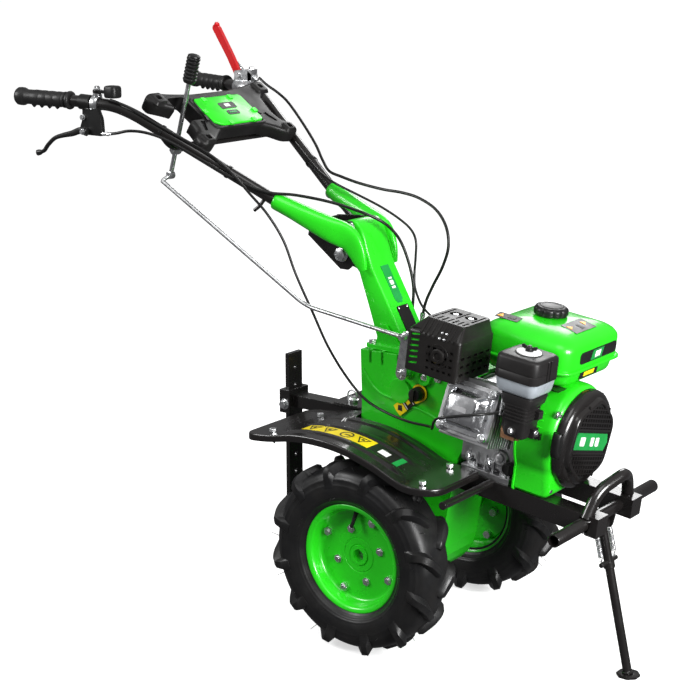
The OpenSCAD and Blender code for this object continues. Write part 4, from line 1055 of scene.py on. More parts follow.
def blower():
    shape = Shape()
    shape.loft([[(x, y, z) for y, z in shroud_ring(d)] for x, d in
                ((256, 1), (257, 0), (318, 0), (324, 0.8), (329, 3), (333, 6.5), (335.5, 11), (336, 15))])
    # Raised louvres on the near shoulder and a bead round the rear edge.
    for i in range(4):
        z = CRANK + 58 - i * 13
        y = -math.sqrt(107 ** 2 - (z - CRANK) ** 2)
        shape.tube([(272 + i * 2, y + 2, z), (288 + i * 2, y - 1.2, z + 2), (304 + i * 2, y + 2, z + 4)],
                   lambda t: 1.2 + 2.2 * math.sin(math.pi * t), 12)
    shape.loft([[(x, y, z) for y, z in shroud_ring(d)]
                for x, d in ((255, -1.6), (256, -3), (259, -3), (260, -1.6))])
    piece("blower_housing", shape, LEANING, "chassis", green, ["blower_shroud"], angle=42)
    shape = Shape()
    shape.box((286, -76, 412), (318, -44, 414.2), 0.8)
    shape.box((290, -112.4, 322), (312, -106, 334), 1.5)
    piece("housing_plate", shape, LEANING, "chassis", black)
    shape = Shape()
    for y, z in ((-82, 214), (82, 214), (-88, 372), (88, 372)):
        shape.bolt((330, y * 0.96, z), (1, 0, 0), 8, 5, washer=8)
    piece("housing_screws", shape, LEANING, "chassis", zinc)


blower()


def six_sided(r, turn, soft, x, steps=8):
    corners = [Vector((r * math.cos(math.radians(turn + 60 * k)), r * math.sin(math.radians(turn + 60 * k))))
               for k in range(6)]
    ring = []
    for k in range(6):
        a, b, c = corners[k - 1], corners[k], corners[(k + 1) % 6]
        one, two = b + (a - b).normalized() * soft, b + (c - b).normalized() * soft
        for i in range(steps + 1):
            t = i / steps
            p = one * (1 - t) ** 2 + b * 2 * t * (1 - t) + two * t * t
            ring.append((x, p.x, CRANK + p.y))
    return ring


def recoil():
    shape = Shape()
    shape.lathe([(336.3, 99), (337, 100), (345, 100), (350, 98.5), (354, 95), (357, 90), (358, 84)],
                (0, 0, CRANK),
                (1, 0, 0), 96)
    shape.loft([six_sided(r, 15, 22, x)
                for x, r in ((350, 97), (360, 93), (364.5, 91), (366.5, 88.5), (366.8, 85),
                             (366, 82), (362, 81), (350, 81))], loop=True)
    # Cooling fins round the side.
    for k in range(36):
        a = math.radians(k * 10)
        if 150 < k * 10 < 205:
            continue
        shape.box((339, 95, -2.2), (350, 98.6, 2.2), 0.8,
                  place=Matrix.Translation((0, 0, CRANK)) @ Matrix.Rotation(a, 4, "X"))
    piece("recoil_housing", shape, LEANING, "chassis", black, ["recoil_cover"], angle=40)

    # The front: a recessed panel with grilles above and below a green band.
    turn = Matrix.Translation((0, 0, CRANK)) @ Matrix.Rotation(math.radians(-15), 4, "X")
    shape = Shape()
    for half in (-1, 1):
        for i in range(5):
            z = half * (29 + i * 9)
            reach = 70 - max(abs(z) - 30, 0) * 0.72
            shape.box((362.5, -reach, z - 1.4), (366.2, reach, z + 1.4), 0.6, place=turn)
        for i in range(13):
            y = -66 + i * 11
            top = min(70, (76 - abs(y)) * 1.5 + 26)
            if top > 34:
                shape.box((362.5, y - 1.3, half * 26), (365.8, y + 1.3, half * top), 0.5, place=turn)
    shape.box((362.5, -74, -25.5), (366.6, 74, -21), 1, place=turn)
    shape.box((362.5, -74, 21), (366.6, 74, 25.5), 1, place=turn)
    piece("recoil_grille", shape, LEANING, "chassis", black)
    # A near-black block that fills the housing behind the grille: painted shade for its hollow inside.
    shape = Shape()
    shape.loft([six_sided(86, 15, 18, x) for x in (355, 362.6)])
    piece("recoil_inside_shade", shape, LEANING, "chassis", shade_fill_black)
    shape = Shape()
    shape.prism([(-68, -17), (60, -17), (70, 0), (62, 17), (-62, 17), (-74, 0)], 363, 365.6, "yz", bevel=0.8,
                place=turn)
    piece("recoil_band", shape, LEANING, "chassis", label_green)
    shape = Shape()
    for y0, y1 in ((-50, -30), (-6, 8), (16, 30)):
        shape.prism(soft_rect((y0, -9), (y1, 9), 3), 365.4, 366.4, "yz", bevel=0.3, place=turn)
    piece("recoil_band_marks", shape, LEANING, "chassis", label_white)

    # The starter grip with its finger ridges, at the near side.
    shape = Shape()
    rings = []
    for t in range(25):
        z = lerp(298, 348, t / 24)
        swell = 1 - abs(t / 12 - 1) ** 5
        wave = 0.7 * math.sin(t * 1.6)
        rings.append([(u, v, z) for u, v in soft_rect((340 - 0.0, -121.5 + (1 - swell) * 5),
                                                     (359, -103 - (1 - swell) * 3 + wave * 0.3), 7)])
    shape.loft(rings)
    shape.tube([(350, -104, 324), (350, -96, 324)], 4, 16)
    piece("starter_grip", shape, LEANING, "starter_handle", part_black, ["recoil_handle"],
          angle=45)


recoil()


def valve_cover():
    place = BARREL
    shape = Shape()
    ear = soft_rect((-50, -45), (50, 45), 12)
    shape.levels(ear, [(191.2, 0.6), (192, 0), (196, 0), (197, 0.8)])
    for x in (-49, 49):
        for y in (-44, 44):
            shape.lathe([(191.2, 9), (197.6, 9), (198.2, 8)], (x * 0.96, y * 0.96, 0), steps=32)
    rings = []
    for z, x, y, r in ((196, 43, 37, 12), (198.5, 40.5, 34.5, 12), (214, 35.5, 29.5, 11), (219.5, 33, 27, 10),
                       (221.6, 29, 23, 8)):
        rings.append([(u, v, z) for u, v in soft_rect((-x, -y), (x, y), r)])
    shape.loft(rings)
    piece("rocker_cover", shape, place, "chassis", bright_cast, ["valve_cover"], angle=38)
    shape = Shape()
    for x in (-47, 47):
        for y in (-42.5, 42.5):
            shape.bolt((x, y, 198), (0, 0, 1), 9, 5, washer=7.5)
    piece("rocker_bolts", shape, place, "chassis", zinc)
    shape = Shape()
    shape.box((-16, -4.5, 221.4), (14, 4.5, 221.9), 0.2)
    piece("rocker_plate", shape, place, "chassis", cast)

    # Copper-coloured bracket and small rods between the engine and the filter.
    shape = Shape()
    shape.prism([(262, 330), (292, 330), (292, 338), (278, 340), (270, 352), (262, 352)], -176, -168, "xz",
                bevel=1)
    shape.prism([(262, 318), (286, 322), (292, 334), (262, 334)], -150, -120, "xz", bevel=1)
    piece("copper_bracket", shape, LEANING, "chassis", copper)
    shape = Shape()
    shape.tube(rounded([(236, -150, 404), (246, -160, 410), (258, -178, 404), (259, -184, 376)], 6), 2, 10)
    shape.helix((222, -142, 405), (252, -160, 404), 3.2, 0.7, 9)
    shape.bolt((254, -164, 386), (0, -1, 0), 10, 6, washer=8)
    shape.bolt((248, -120, 414), (0, 0, 1), 10, 5, washer=8)
    piece("governor_rods", shape, LEANING, "chassis", zinc)


valve_cover()


def engine_details():
    shape = Shape()
    # Cover plate, sump ribs and bolts on the crankcase's near and front faces.
    for x in (140, 188, 238):
        shape.bolt((x, -74, 226), (0, -1, 0), 10, 6, washer=8)
    shape.bolt((128, -74, 300), (0, -1, 0), 10, 6, washer=8)
    shape.bolt((248, -74, 300), (0, -1, 0), 10, 6, washer=8)
    piece("crankcase_bolts", shape, LEANING, "chassis", zinc)
    shape = Shape()
    for i in range(6):
        x = 140 + i * 19
        shape.box((x, -77, 209), (x + 4, -72, 240), 1.2)
    shape.lathe([(0, 17), (4, 16.5), (6, 14), (6, 9), (10, 8.5), (11, 6)], (214, -73, 244), (0, -1, 0.1), 40)
    piece("crankcase_ribs", shape, LEANING, "chassis", cast)
    shape = Shape()
    shape.lathe([(0, 13), (2, 14), (9, 14), (11, 12), (11, 0.5)], (240, -80, 232), (0, -1, 0), 32)
    shape.box((237, -95, 223), (243, -90, 241), 1)
    piece("oil_dipstick", shape, LEANING, "chassis", part_black)


engine_details()

# ---- gearbox, column and arms, in the MACHINE frame ----

def on_front():
    """The column's sloping front face: X across, Y up the slope, Z out of it."""
    turn = Matrix(((0, -0.4927, 0.8702, -48), (1, 0, 0, 0), (0, 0.8702, 0.4927, 662), (0, 0, 0, 1)))
    return MACHINE @ turn


def column():
    side = [(-96, 590), (-88, 605), (-110, 670), (-137, 745), (-160, 752), (-184, 756), (-196, 764),
            (-199, 778),
            (-196, 800), (-189, 820), (-178, 836), (-166, 845), (-152, 849), (-140, 846), (-129, 834),
            (-120, 812),
            (-112, 785), (-99, 751), (-60, 684), (-22, 615), (-8, 590)]
    shape = Shape()
    shape.levels(side, [(-41, 5), (-40.2, 2.5), (-38, 0.8), (-35, 0), (35, 0), (38, 0.8), (40.2, 2.5),
                        (41, 5)], "xz")
    shape.pillow((-106, -58), (2, 58), 10, [(587.3, 0.8), (588, 0), (596, 0), (597, 0.9)])
    for y in (-54, 49):
        shape.prism([(-84, 596), (-20, 596), (-60, 640), (-76, 640)], y * 0.86 - 2, y * 0.86 + 3, "xz",
                    bevel=1)
    piece("column_casting", shape, MACHINE, "chassis", green, ["handlebar_column"], angle=40)
    place = on_front()
    plain_label("column_label", [(-13, 28), (-8, 20), (8, 20), (13, 28), (13, 104), (-13, 104)], 0.5, "xy",
                label_green,
                place)
    for i, (a, b) in enumerate(((52, 57), (60, 70), (73, 77))):
        plain_label("column_label_mark_%d" % i, soft_rect((-6, a), (6, b), 1.5), 0.9, "xy", label_white,
                    place)
    shape = Shape()
    shape.prism(soft_rect((-19, -62), (19, 13), 3), -0.5, 2.6, bevel=0.8)
    piece("column_plate", shape, place, "chassis", tray_black)
    shape = Shape()
    for x in (-14.5, 14.5):
        shape.lathe([(2, 2.6), (3.2, 2.4), (4.2, 1.2)], (x, 8, 0), steps=16)
    piece("plate_rivets", shape, place, "chassis", zinc)
    shape = Shape()
    shape.lathe([(0, 5), (0.8, 4.8), (1.2, 3.5)], (-152, -41.2, 820), (0, -1, 0), 24)
    piece("column_dot", shape, MACHINE, "chassis", label_green)


def gearbox_details():
    shape = Shape()
    # Bosses, webs under the flange and the seam's bolt lugs on the near half.
    for side in (-1, 1):
        shape.lathe([(60, 19), (72, 18), (74, 16.5), (74, 11), (70, 10.4), (70, 0.5)], (52, 0, 551),
                    (0, side, 0), 40)
        shape.lathe([(60, 17), (69, 16), (71, 14), (71, 7)], (12, 0, 557), (0, side, 0), 40)
        for x in (-88, -58, -18):
            shape.prism([(x, 560), (x + 6, 560), (x + 6, 588), (x, 588)], side * 57 - 9, side * 57 + 9, "xz",
                        bevel=1.5)
        shape.tube(rounded([(-104, side * 66, 545), (-70, side * 66.5, 500), (60, side * 66.5, 478),
                            (110, side * 66, 455)], 30), lambda t: 3.2, 12)
    shape.lathe([(-6, 15), (6, 15), (8, 13.5)], (-104, -28, 577), (-1, 0, 0.1), 40)
    piece("gearbox_bosses", shape, MACHINE, "chassis", green, angle=40)
    shape = Shape()
    shape.bolt((-112, -28, 578), (-1, 0, 0.1), 19, 8, washer=13)
    for side in (-1, 1):
        shape.bolt((52, side * 69, 551), (0, side, 0), 10, 5, washer=7.5)
        shape.bolt((96, side * 66, 470), (0, side, 0), 10, 6, washer=8)
        shape.bolt((84, side * 66, 552), (0, side, 0), 10, 6, washer=8)
    piece("gearbox_bolts", shape, MACHINE, "chassis", zinc)

    shape = Shape()
    shape.lathe([(54, 9.6), (66.3, 9.8), (66.4, 18), (68.6, 19), (69.2, 18.2)], (3, 0, 316), (0, -1, 0), 48)
    rings = []
    for y, r, cut in ((-69.4, 13.5, 0), (-71, 14.6, 0.6), (-88, 14.2, 0.8), (-91, 13, 0.6), (-92, 11, 0)):
        rings.append([(3 + (r - cut * (k % 3 == 0)) * math.cos(math.pi * k / 36), y,
                       316 + (r - cut * (k % 3 == 0)) * math.sin(math.pi * k / 36)) for k in range(72)])
    shape.loft(rings)
    shape.box((-0.6, -97, 303), (6.6, -90, 329), 1.4)
    piece("oil_knob", shape, LEANING, "oil_plug", part_black, ["oil_plug"], angle=40)
    tag = LEANING @ Matrix.Translation((3, 0, 316)) @ Matrix.Rotation(math.radians(133), 4, "Y")
    for name, shape_outline, material in (
            ("tag_top", list(arc(0, 0, 18.5, 90, 270, 20)) + [(22, -13), (22, 13)], label_yellow),
            ("tag_middle", [(22, -13), (50, -13), (50, 13), (22, 13)], label_dark),
            ("tag_end", [(50, -13), (72, -13), (74, 0), (72, 13), (50, 13)], label_yellow)):
        flat = Shape()
        flat.prism(shape_outline, -70.6, -69.8, "xz")
        piece(name, flat, tag, "oil_plug", material)
    for name, a, b, material in (("tag_line_a", (26, -12), (27.5, 12), label_white),
                                 ("tag_line_b", (46, -12), (47.5, 12), label_white),
                                 ("tag_square", (32, -5), (41, 5), label_yellow)):
        flat = Shape()
        flat.prism([(a[0], a[1]), (b[0], a[1]), (b[0], b[1]), (a[0], b[1])], -71.1, -70.5, "xz")
        piece(name, flat, tag, "oil_plug", material)
    flat = Shape()
    flat.prism([(54, -2), (61, -8), (69, 0), (61, 8)], -71.1, -70.5, "xz")
    piece("tag_symbol", flat, tag, "oil_plug", label_dark)


def superellipse(centre, along, wide, high, power=2.6, steps=32):
    """A ring round a place, square to a direction; wide is sideways and high upwards."""
    along = Vector(along).normalized()
    side = Vector((0, 1, 0))
    side = (side - along * side.dot(along)).normalized()
    up = side.cross(along).normalized()
    if up.z < 0:
        up = -up
    ring = []
    for k in range(steps):
        a = 2 * math.pi * k / steps
        c, s = math.cos(a), math.sin(a)
        u = math.copysign(abs(c) ** (2 / power), c) * wide
        v = math.copysign(abs(s) ** (2 / power), s) * high
        ring.append(Vector(centre) + side * u + up * v)
    return ring


def arms():
    shape = Shape()
    # Middle, sideways half-width, half-height and squareness along one arm.
    stations = [((-113, 54, 748), 5.0, 9, 2.4), ((-119, 55, 764), 7.0, 15, 2.6),
                ((-128, 56, 785), 8.5, 21, 2.8),
                ((-142, 58, 807), 10.5, 26, 2.8), ((-160, 62, 819), 13.5, 27.5, 2.7),
                ((-182, 68, 827), 16.5, 26.5, 2.6),
                ((-212, 75, 839), 18, 24, 2.4), ((-243, 82, 852), 18.5, 21.5, 2.2),
                ((-272, 88, 864), 18.6, 19.6, 2.0),
                ((-296, 93.5, 874), 18.4, 18.6, 2.0)]
    for mirror in (1, -1):
        path = [Vector((p[0], p[1] * mirror, p[2])) for p, _, _, _ in stations]
        fine = spline([(*p, w, h, q) for p, (_, w, h, q) in zip(path, stations)], 4)
        rings = []
        for i, f in enumerate(fine):
            along = Vector(fine[min(i + 1, len(fine) - 1)][:3]) - Vector(fine[max(i - 1, 0)][:3])
            rings.append(superellipse(f[:3], along, f[3], f[4], f[5]))
        end = Vector(fine[-1][:3])
        out = (end - Vector(fine[-3][:3])).normalized()
        for step, r in ((3, 18.6), (6, 18.6), (12, 18.2), (15, 17.6), (16, 16.6), (16.2, 14)):
            rings.append(superellipse(end + out * step, out, r, r, 2.0))
        shape.loft(rings)
        # The inner web that reaches down beside the column.
        shape.prism([(-116, 752), (-108, 762), (-122, 800), (-150, 838), (-176, 846), (-166, 822),
                     (-136, 790)],
                    mirror * 50 - 4, mirror * 50 + 4, "xz", bevel=2)
    piece("handle_arms", shape, MACHINE, "handlebar", green, ["handlebar_arms"], angle=50)
    shape = Shape()
    for s in (-1, 1):
        shape.bolt((-172, s * 49, 775), (0, s, 0), 24, 9, washer=16)
    shape.rod((-172, -57, 775), (-172, 57, 775), 8)
    shape.bolt((-236, -47, 820), (0, -1, 0), 13, 6, washer=9)
    shape.bolt((-150, -47, 834), (0, -1, 0), 13, 4, washer=9)
    piece("tilt_bolt", shape, MACHINE, "handlebar", zinc, ["pivot_bolt"])


column()
gearbox_details()
arms()

# ---- handlebar ----

TUBE_PATH = [(-215, 66, 826), (-304, 95, 877), (-600, 213, 1051), (-642, 228, 1067), (-742, 251, 1074),
             (-874, 279, 1078)]
GRIP_ALONG = (Vector(TUBE_PATH[5]) - Vector(TUBE_PATH[4])).normalized()


def flip(points, side):
    return [(p[0], p[1] * side, p[2]) for p in points]


def tubes():
    shape = Shape()
    for side in (-1, 1):
        shape.tube(rounded(flip(TUBE_PATH, side), 44, 8), 12.5, 28)
    shape.tube(rounded([(-545, -190, 1012), (-535, -168, 980), (-535, 168, 980), (-545, 190, 1012)], 20), 7,
               20)
    shape.rod((-535, -100, 980), (-571, -100, 968), 6)
    shape.rod((-571, -128, 968), (-571, -96, 968), 6, 1)
    # Wire loop near the far socket and a clip under the near tube.
    shape.tube([(-330 + 13 * math.cos(a), 118 + 3 * math.sin(a), 868 + 11 * math.sin(a))
                for a in [math.radians(20 + 16 * k) for k in range(20)]], 1.7, 10)
    shape.tube(rounded([(-330, -106, 884), (-338, -114, 868), (-350, -118, 858)], 8), 4, 12)
    piece("handle_tubes", shape, MACHINE, "handlebar", black, ["handlebar_tubes"], angle=40)

    shape = Shape()
    for side in (-1, 1):
        end = Vector((TUBE_PATH[5][0], TUBE_PATH[5][1] * side, TUBE_PATH[5][2]))
        along = Vector((GRIP_ALONG.x, GRIP_ALONG.y * side, GRIP_ALONG.z))
        profile = [(0, 12.6), (0, 17.5), (1, 19.3), (3, 20), (6, 19.6), (7.5, 17.6), (8, 15.6), (11, 15.6),
                   (12, 17),
                   (15, 17.6), (18, 17), (19, 16)]
        for k in range(60):
            x = 20 + k * 1.6
            wave = 0.9 * abs(math.sin(math.pi * (x - 20) / 19.2)) ** 0.7 if x < 97 else 0
            ring = 0.35 if k % 2 else 0.0
            profile.append((x, 15.6 + wave + ring))
        profile += [(117, 16.2), (119, 18.2), (122, 19.4), (130, 19.6), (135, 19.0), (138.5, 16.5), (140, 12),
                    (140.4, 6),
                    (140.4, 0.5)]
        shape.lathe(profile, end - along * 133, along, 48)
        # Finger bumps along the underside.
        for k in range(4):
            at = end - along * (36 + k * 20)
            shape.tube([at - along * 9 + Vector((0, 0, -12)), at + Vector((0, 0, -15.4)),
                        at + along * 9 + Vector((0, 0, -12))], lambda t: 2 + 4.5 * math.sin(math.pi * t), 16)
    piece("grips", shape, MACHINE, "handlebar", grip_rubber, ["hand_grips"], angle=45)


tubes()


def soften(outline, radius, steps=4):
    """The outline with its corners rounded."""
    p = [Vector(q) for q in outline]
    out = []
    for i, b in enumerate(p):
        a, c = p[i - 1], p[(i + 1) % len(p)]
        reach = min(radius, (a - b).length * 0.42, (c - b).length * 0.42)
        one, two = b + (a - b).normalized() * reach, b + (c - b).normalized() * reach
        for k in range(steps + 1):
            t = k / steps
            q = one * (1 - t) ** 2 + b * 2 * t * (1 - t) + two * t * t
            out.append((q.x, q.y))
    return out


def console():
    half = [(-30, 62), (-14, 92), (6, 118), (10, 148), (0, 160), (-22, 156), (-34, 136), (-62, 130),
            (-112, 142),
            (-126, 168), (-136, 190), (-158, 190), (-168, 172), (-158, 120), (-150, 60)]
    outline = soften(half + [(x, -y) for x, y in reversed(half)], 9)
    shape = Shape()
    shape.levels(outline, [(-34, 5), (-32, 2.2), (-28, 1.2), (-9, 0), (-5, 0.6), (-2, 2), (0, 4.6), (0.4, 8)])
    for s in (-1, 1):
        # Raised pads on the four wings, each with a socket.
        for x0, x1, y0, y1 in ((-160, -126, 148, 184), (-20, 6, 118, 150)):
            a, b = min(s * y0, s * y1), max(s * y0, s * y1)
            shape.pillow((x0, a), (x1, b), 7, [(-2, -2), (2, 0.5), (4.6, 2.2), (5.4, 4)])
        shape.prism([(-118, s * 70), (-58, s * 84), (-58, s * 90), (-118, s * 78)][::s], -1, 3.6, bevel=1.2)
    shape.pillow((-134, -84), (-30, 84), 12, [(-3, -2), (1.2, 0), (2.2, 1.4), (2.2, 4)])
    obj = piece("console_tray", shape, CONSOLE, "handlebar", tray_black, ["console"],
                angle=36)
    cut = Shape()
    for s in (-1, 1):
        cut.pillow((-149, s * 166 - 6), (-137, s * 166 + 6), 3, [(-4, 0), (9, -1)])
        cut.pillow((-13, s * 134 - 6), (-1, s * 134 + 6), 3, [(-4, 0), (9, -1)])
    cut.pillow((-141, -142), (-66, -92), 6, [(-40, 0), (6, 0)])
    cut.pillow((-128, -78), (-36, 78), 8, [(0, 0), (6, 0)])
    for s in (-1, 1):
        cut.prism([(-60, s * 96), (-30, s * 112), (-32, s * 120), (-62, s * 108)][::s], -3, 8)
    carve(obj, cut, CONSOLE)

    shape = Shape()
    plate = soften([(-127, -71), (-127, 71), (-119, 77), (-44, 77), (-37, 70), (-37, -54), (-52, -77),
                    (-107, -77)], 4)
    shape.levels(plate, [(-1.8, 0.6), (2.4, 0), (3.8, 0.5), (4.6, 1.6)])
    for x, y in ((-120, 40), (-120, -46), (-41, 46), (-41, -30), (-70, 75), (-84, -75)):
        shape.box((x - 6, y - 6, 0), (x + 6, y + 6, 6.4), 1.4)
    piece("insert_plate", shape, CONSOLE, "handlebar", green_plastic, ["console_insert"],
          angle=40)
    plain_label("insert_label_top", soft_rect((-104, -18), (-84, 32), 4), 4.9, "xy", label_dark, CONSOLE,
                "handlebar")
    plain_label("insert_label_low", soft_rect((-78, -14), (-64, 24), 5), 4.9, "xy", label_dark, CONSOLE,
                "handlebar")
    plain_label("insert_mark", soft_rect((-99, -2), (-90, 14), 2), 5.4, "xy", label_white, CONSOLE,
                "handlebar")
    plain_label("insert_bar", soft_rect((-74, -8), (-69, 16), 2), 5.4, "xy", label_green, CONSOLE,
                "handlebar")


console()


def levers():
    # Gear lever: plated rod with an eye at each joint and a ribbed knob.
    low, high = Vector((-588, -116, 912)), Vector((-514, -116, 1161))
    up = (high - low).normalized()
    shape = Shape()
    shape.tube([low, high - up * 40], 5, 20)
    shape.lathe([(-6, 8), (-5.5, 9), (5.5, 9), (6, 8)], low, (0, 1, 0), 32)
    shape.lathe([(-8, 10), (-7.4, 11), (7.4, 11), (8, 10)], (-571, -116, 968), (0, 1, 0), 32)
    shape.bolt((-571, -124, 968), (0, -1, 0), 13, 4, washer=9)
    shape.bolt((-588, -121, 912), (0, -1, 0), 10, 4)
    piece("gear_lever_rod", shape, MACHINE, "shift_lever", zinc, ["shift_lever"])
    shape = Shape()
    profile = [(-50, 6), (-50, 11), (-48, 13)]
    for k in range(7):
        x = -46 + k * 7.6
        profile += [(x, 13.2), (x + 2.6, 14.8), (x + 5, 14.8), (x + 7, 12.6)]
    profile += [(8, 14), (10.5, 13), (12, 10), (12.2, 0.5)]
    shape.lathe(profile, high, up, 40)
    piece("gear_lever_knob", shape, MACHINE, "shift_lever", part_black, angle=40)

    # Clutch bracket: a clamp round the left tube with two cheeks and bolts.
    b, a = Vector((-724, 246.8, 1072.7)), Vector((-646, 229, 1067.4))
    along = (a - b).normalized()
    shape = Shape()
    shape.lathe([(22, 12.7), (22, 17), (23, 17.6), (72, 17.6), (73, 17), (73, 12.7)], b, along, 40, loop=True)
    for y0, y1 in ((232, 236.4), (249.6, 254)):
        shape.prism(soften([(-706, 1078), (-654, 1078), (-650, 1100), (-668, 1112), (-704, 1108)], 5), y0, y1,
                    "xz",
                    bevel=0.8)
    shape.box((-664, 232, 1086), (-652, 254, 1112), 1.5)
    shape.rod((-690, 230, 1096), (-690, 256, 1096), 4)
    shape.bolt((-690, 254, 1096), (0, 1, 0), 10, 5, washer=7.5)
    shape.bolt((-690, 232, 1096), (0, -1, 0), 10, 5, washer=7.5)
    shape.bolt((-660, 243, 1110), (0, 0, 1), 11, 6, washer=8)
    shape.bolt((-676, 243, 1052), (0, 0, -1), 10, 6, washer=8)
    shape.lathe([(0, 4.4), (8, 4.4), (9, 3.6), (22, 3.4), (22, 0.5)], (-656, 242, 1098), (0.86, -0.2, -0.42),
                20)
    # Throttle clamp on the right tube with its upright screw.
    b2, a2 = Vector((-690, -239.2, 1070.5)), Vector((-676, -235.8, 1069.4))
    shape.lathe([(-1, 12.7), (-1, 16.4), (0, 17), (14, 17), (15, 16.4), (15, 12.7)], b2, a2 - b2, 40,
                loop=True)
    shape.rod((-680, -237, 1084), (-680, -237, 1091.4), 10, 1)
    shape.rod((-680, -237, 1084), (-680, -237, 1106), 4)
    shape.bolt((-680, -237, 1099.4), (0, 0, 1), 11, 6, washer=8)
    shape.bolt((-682, -237, 1054), (0, 0, -1), 10, 7, washer=8)
    # Bolts of the reverse bracket and the cable's ferrule.
    shape.bolt((-704, -261.3, 1011), (0, -1, 0), 10, 3.4, washer=7)
    shape.bolt((-712, -251, 1040), (0, -1, 0), 10, 4, washer=6.5)
    shape.lathe([(0, 4.4), (7, 4.4), (8, 3.4), (12, 3.4), (13, 4.6), (17, 4.6), (18, 3.2), (26, 3)],
                (-660, -246, 1008), (1, 0.05, 0.05), 20)
    piece("lever_clamps", shape, MACHINE, "handlebar", zinc, ["lever_brackets"])

    shape = Shape()
    b3 = Vector((-722, -246.4, 1072.7))
    shape.lathe([(0, 12.7), (0, 15.6), (1, 16.4), (27, 16.4), (28, 15.6), (28, 12.7)], b3, (28, 6, -1.8), 40,
                loop=True)
    shape.prism(soften([(-714, 1064), (-715, 1036), (-723, 1018), (-722, 1003), (-657, 1003), (-660, 1040),
                        (-672, 1064)],
                       5), -250, -240, "xz", bevel=1.8)
    piece("reverse_bracket", shape, MACHINE, "handlebar", part_black)

    # Clutch lever in red with its coil spring.
    shape = Shape()
    shape.prism(soften([(-680, 1091), (-690, 1086), (-702, 1088), (-710, 1099), (-732, 1137), (-776, 1202),
                        (-774, 1210), (-764, 1213), (-756, 1206), (-714, 1141), (-695, 1107), (-683, 1103)],
                        4),
                238.4, 247.6, "xz", bevel=2.2, segments=3)
    shape.rod((-769, 243, 1206), (-762, 243, 1216), 6.2, 2.6)
    piece("clutch_lever_red", shape, MACHINE, "clutch_lever", red_plastic, ["clutch_lever"],
          angle=40)
    shape = Shape()
    shape.helix((-714, 252, 1124), (-688, 251, 1100), 4.6, 1.1, 8)
    piece("clutch_spring", shape, MACHINE, "clutch_lever", zinc)

    # Reverse lever: a curved blade that ends in a small bulb.
    shape = Shape()
    path = spline([(-696, 1009), (-716, 1012), (-742, 1004), (-770, 998), (-796, 990), (-818, 974),
                   (-832, 960),
                   (-852, 954)], 5)
    n = len(path)
    rings = []
    for i, p in enumerate(path):
        t = i / (n - 1)
        d = (path[min(i + 1, n - 1)] - path[max(i - 1, 0)]).normalized()
        side = Vector((-d.y, d.x))
        h = lerp(8.0, 4.2, smoothstep(t * 1.5)) + 2.4 * smoothstep((t - 0.9) / 0.06)
        w = lerp(4.8, 4.4, t) + 1.4 * smoothstep((t - 0.9) / 0.06)
        rings.append([(p.x + side.x * v, -256 + u, p.y + side.y * v)
                      for u, v in soft_rect((-w, -h), (w, h), min(w, h) * 0.85, 3)])
    shape.loft(rings)
    piece("reverse_blade", shape, MACHINE, "reverse_lever", part_black, ["reverse_lever"],
          angle=45)

    # Throttle knob.
    shape = Shape()
    shape.lathe([(1092.3, 9.4), (1093, 10), (1098, 10), (1099, 9)], (-680, -237, 0), steps=32)
    shape.box((-680, -243, 1092.5), (-642, -231, 1098.5), 2)
    shape.pillow((-651, -252), (-618, -222), 9,
                 [(1084.3, 3), (1086, 0.8), (1090, 0), (1104, 0), (1108, 1.2), (1109.8, 4)])
    piece("throttle_knob", shape, MACHINE, "throttle_lever", part_black, ["throttle_lever"],
          angle=40)


levers()


def linkage():
    shape = Shape()
    u, v = Vector((12, 557)), Vector((22, 637))
    along = (v - u).normalized()
    side = Vector((-along.y, along.x))
    outline = [tuple(u + side * 13 * math.cos(a) + along * -13 * math.sin(a)) for a in
               [math.radians(k * 15) for k in range(13)]]
    outline += [tuple(v - side * 9.4 * math.cos(a) + along * 9.4 * math.sin(a)) for a in
                [math.radians(k * 15) for k in range(13)]]
    shape.prism(outline, -94, -88.4, "xz", bevel=1)
    shape.lathe([(52, 6), (98, 6)], (12, 0, 557), (0, -1, 0), 24)
    shape.lathe([(74, 12), (88.4, 12)], (12, 0, 557), (0, -1, 0), 32)
    shape.bolt((12, -94, 557), (0, -1, 0), 13, 6, washer=10)
    piece("gear_arm_plate", shape, MACHINE, "gear_arm", zinc, ["gear_arm"])
    shape = Shape()
    eye, bend, rear = Vector((22, -103, 637)), Vector((-222, -108, 669)), Vector((-598, -133, 900))
    shape.tube(rounded([eye, bend, rear], 26), 4.5, 20)
    shape.lathe([(-5, 8), (5, 8)], eye, (0, 1, 0), 32)
    shape.tube(rounded([rear + Vector((8, 0.6, -5)), rear, Vector((-590, -122, 909)),
                        Vector((-588, -107, 912))], 4), 4.3, 20)
    piece("shift_rod_wire", shape, MACHINE, "shift_rod", zinc, ["shift_rod"])


linkage()

# ---- cables ----

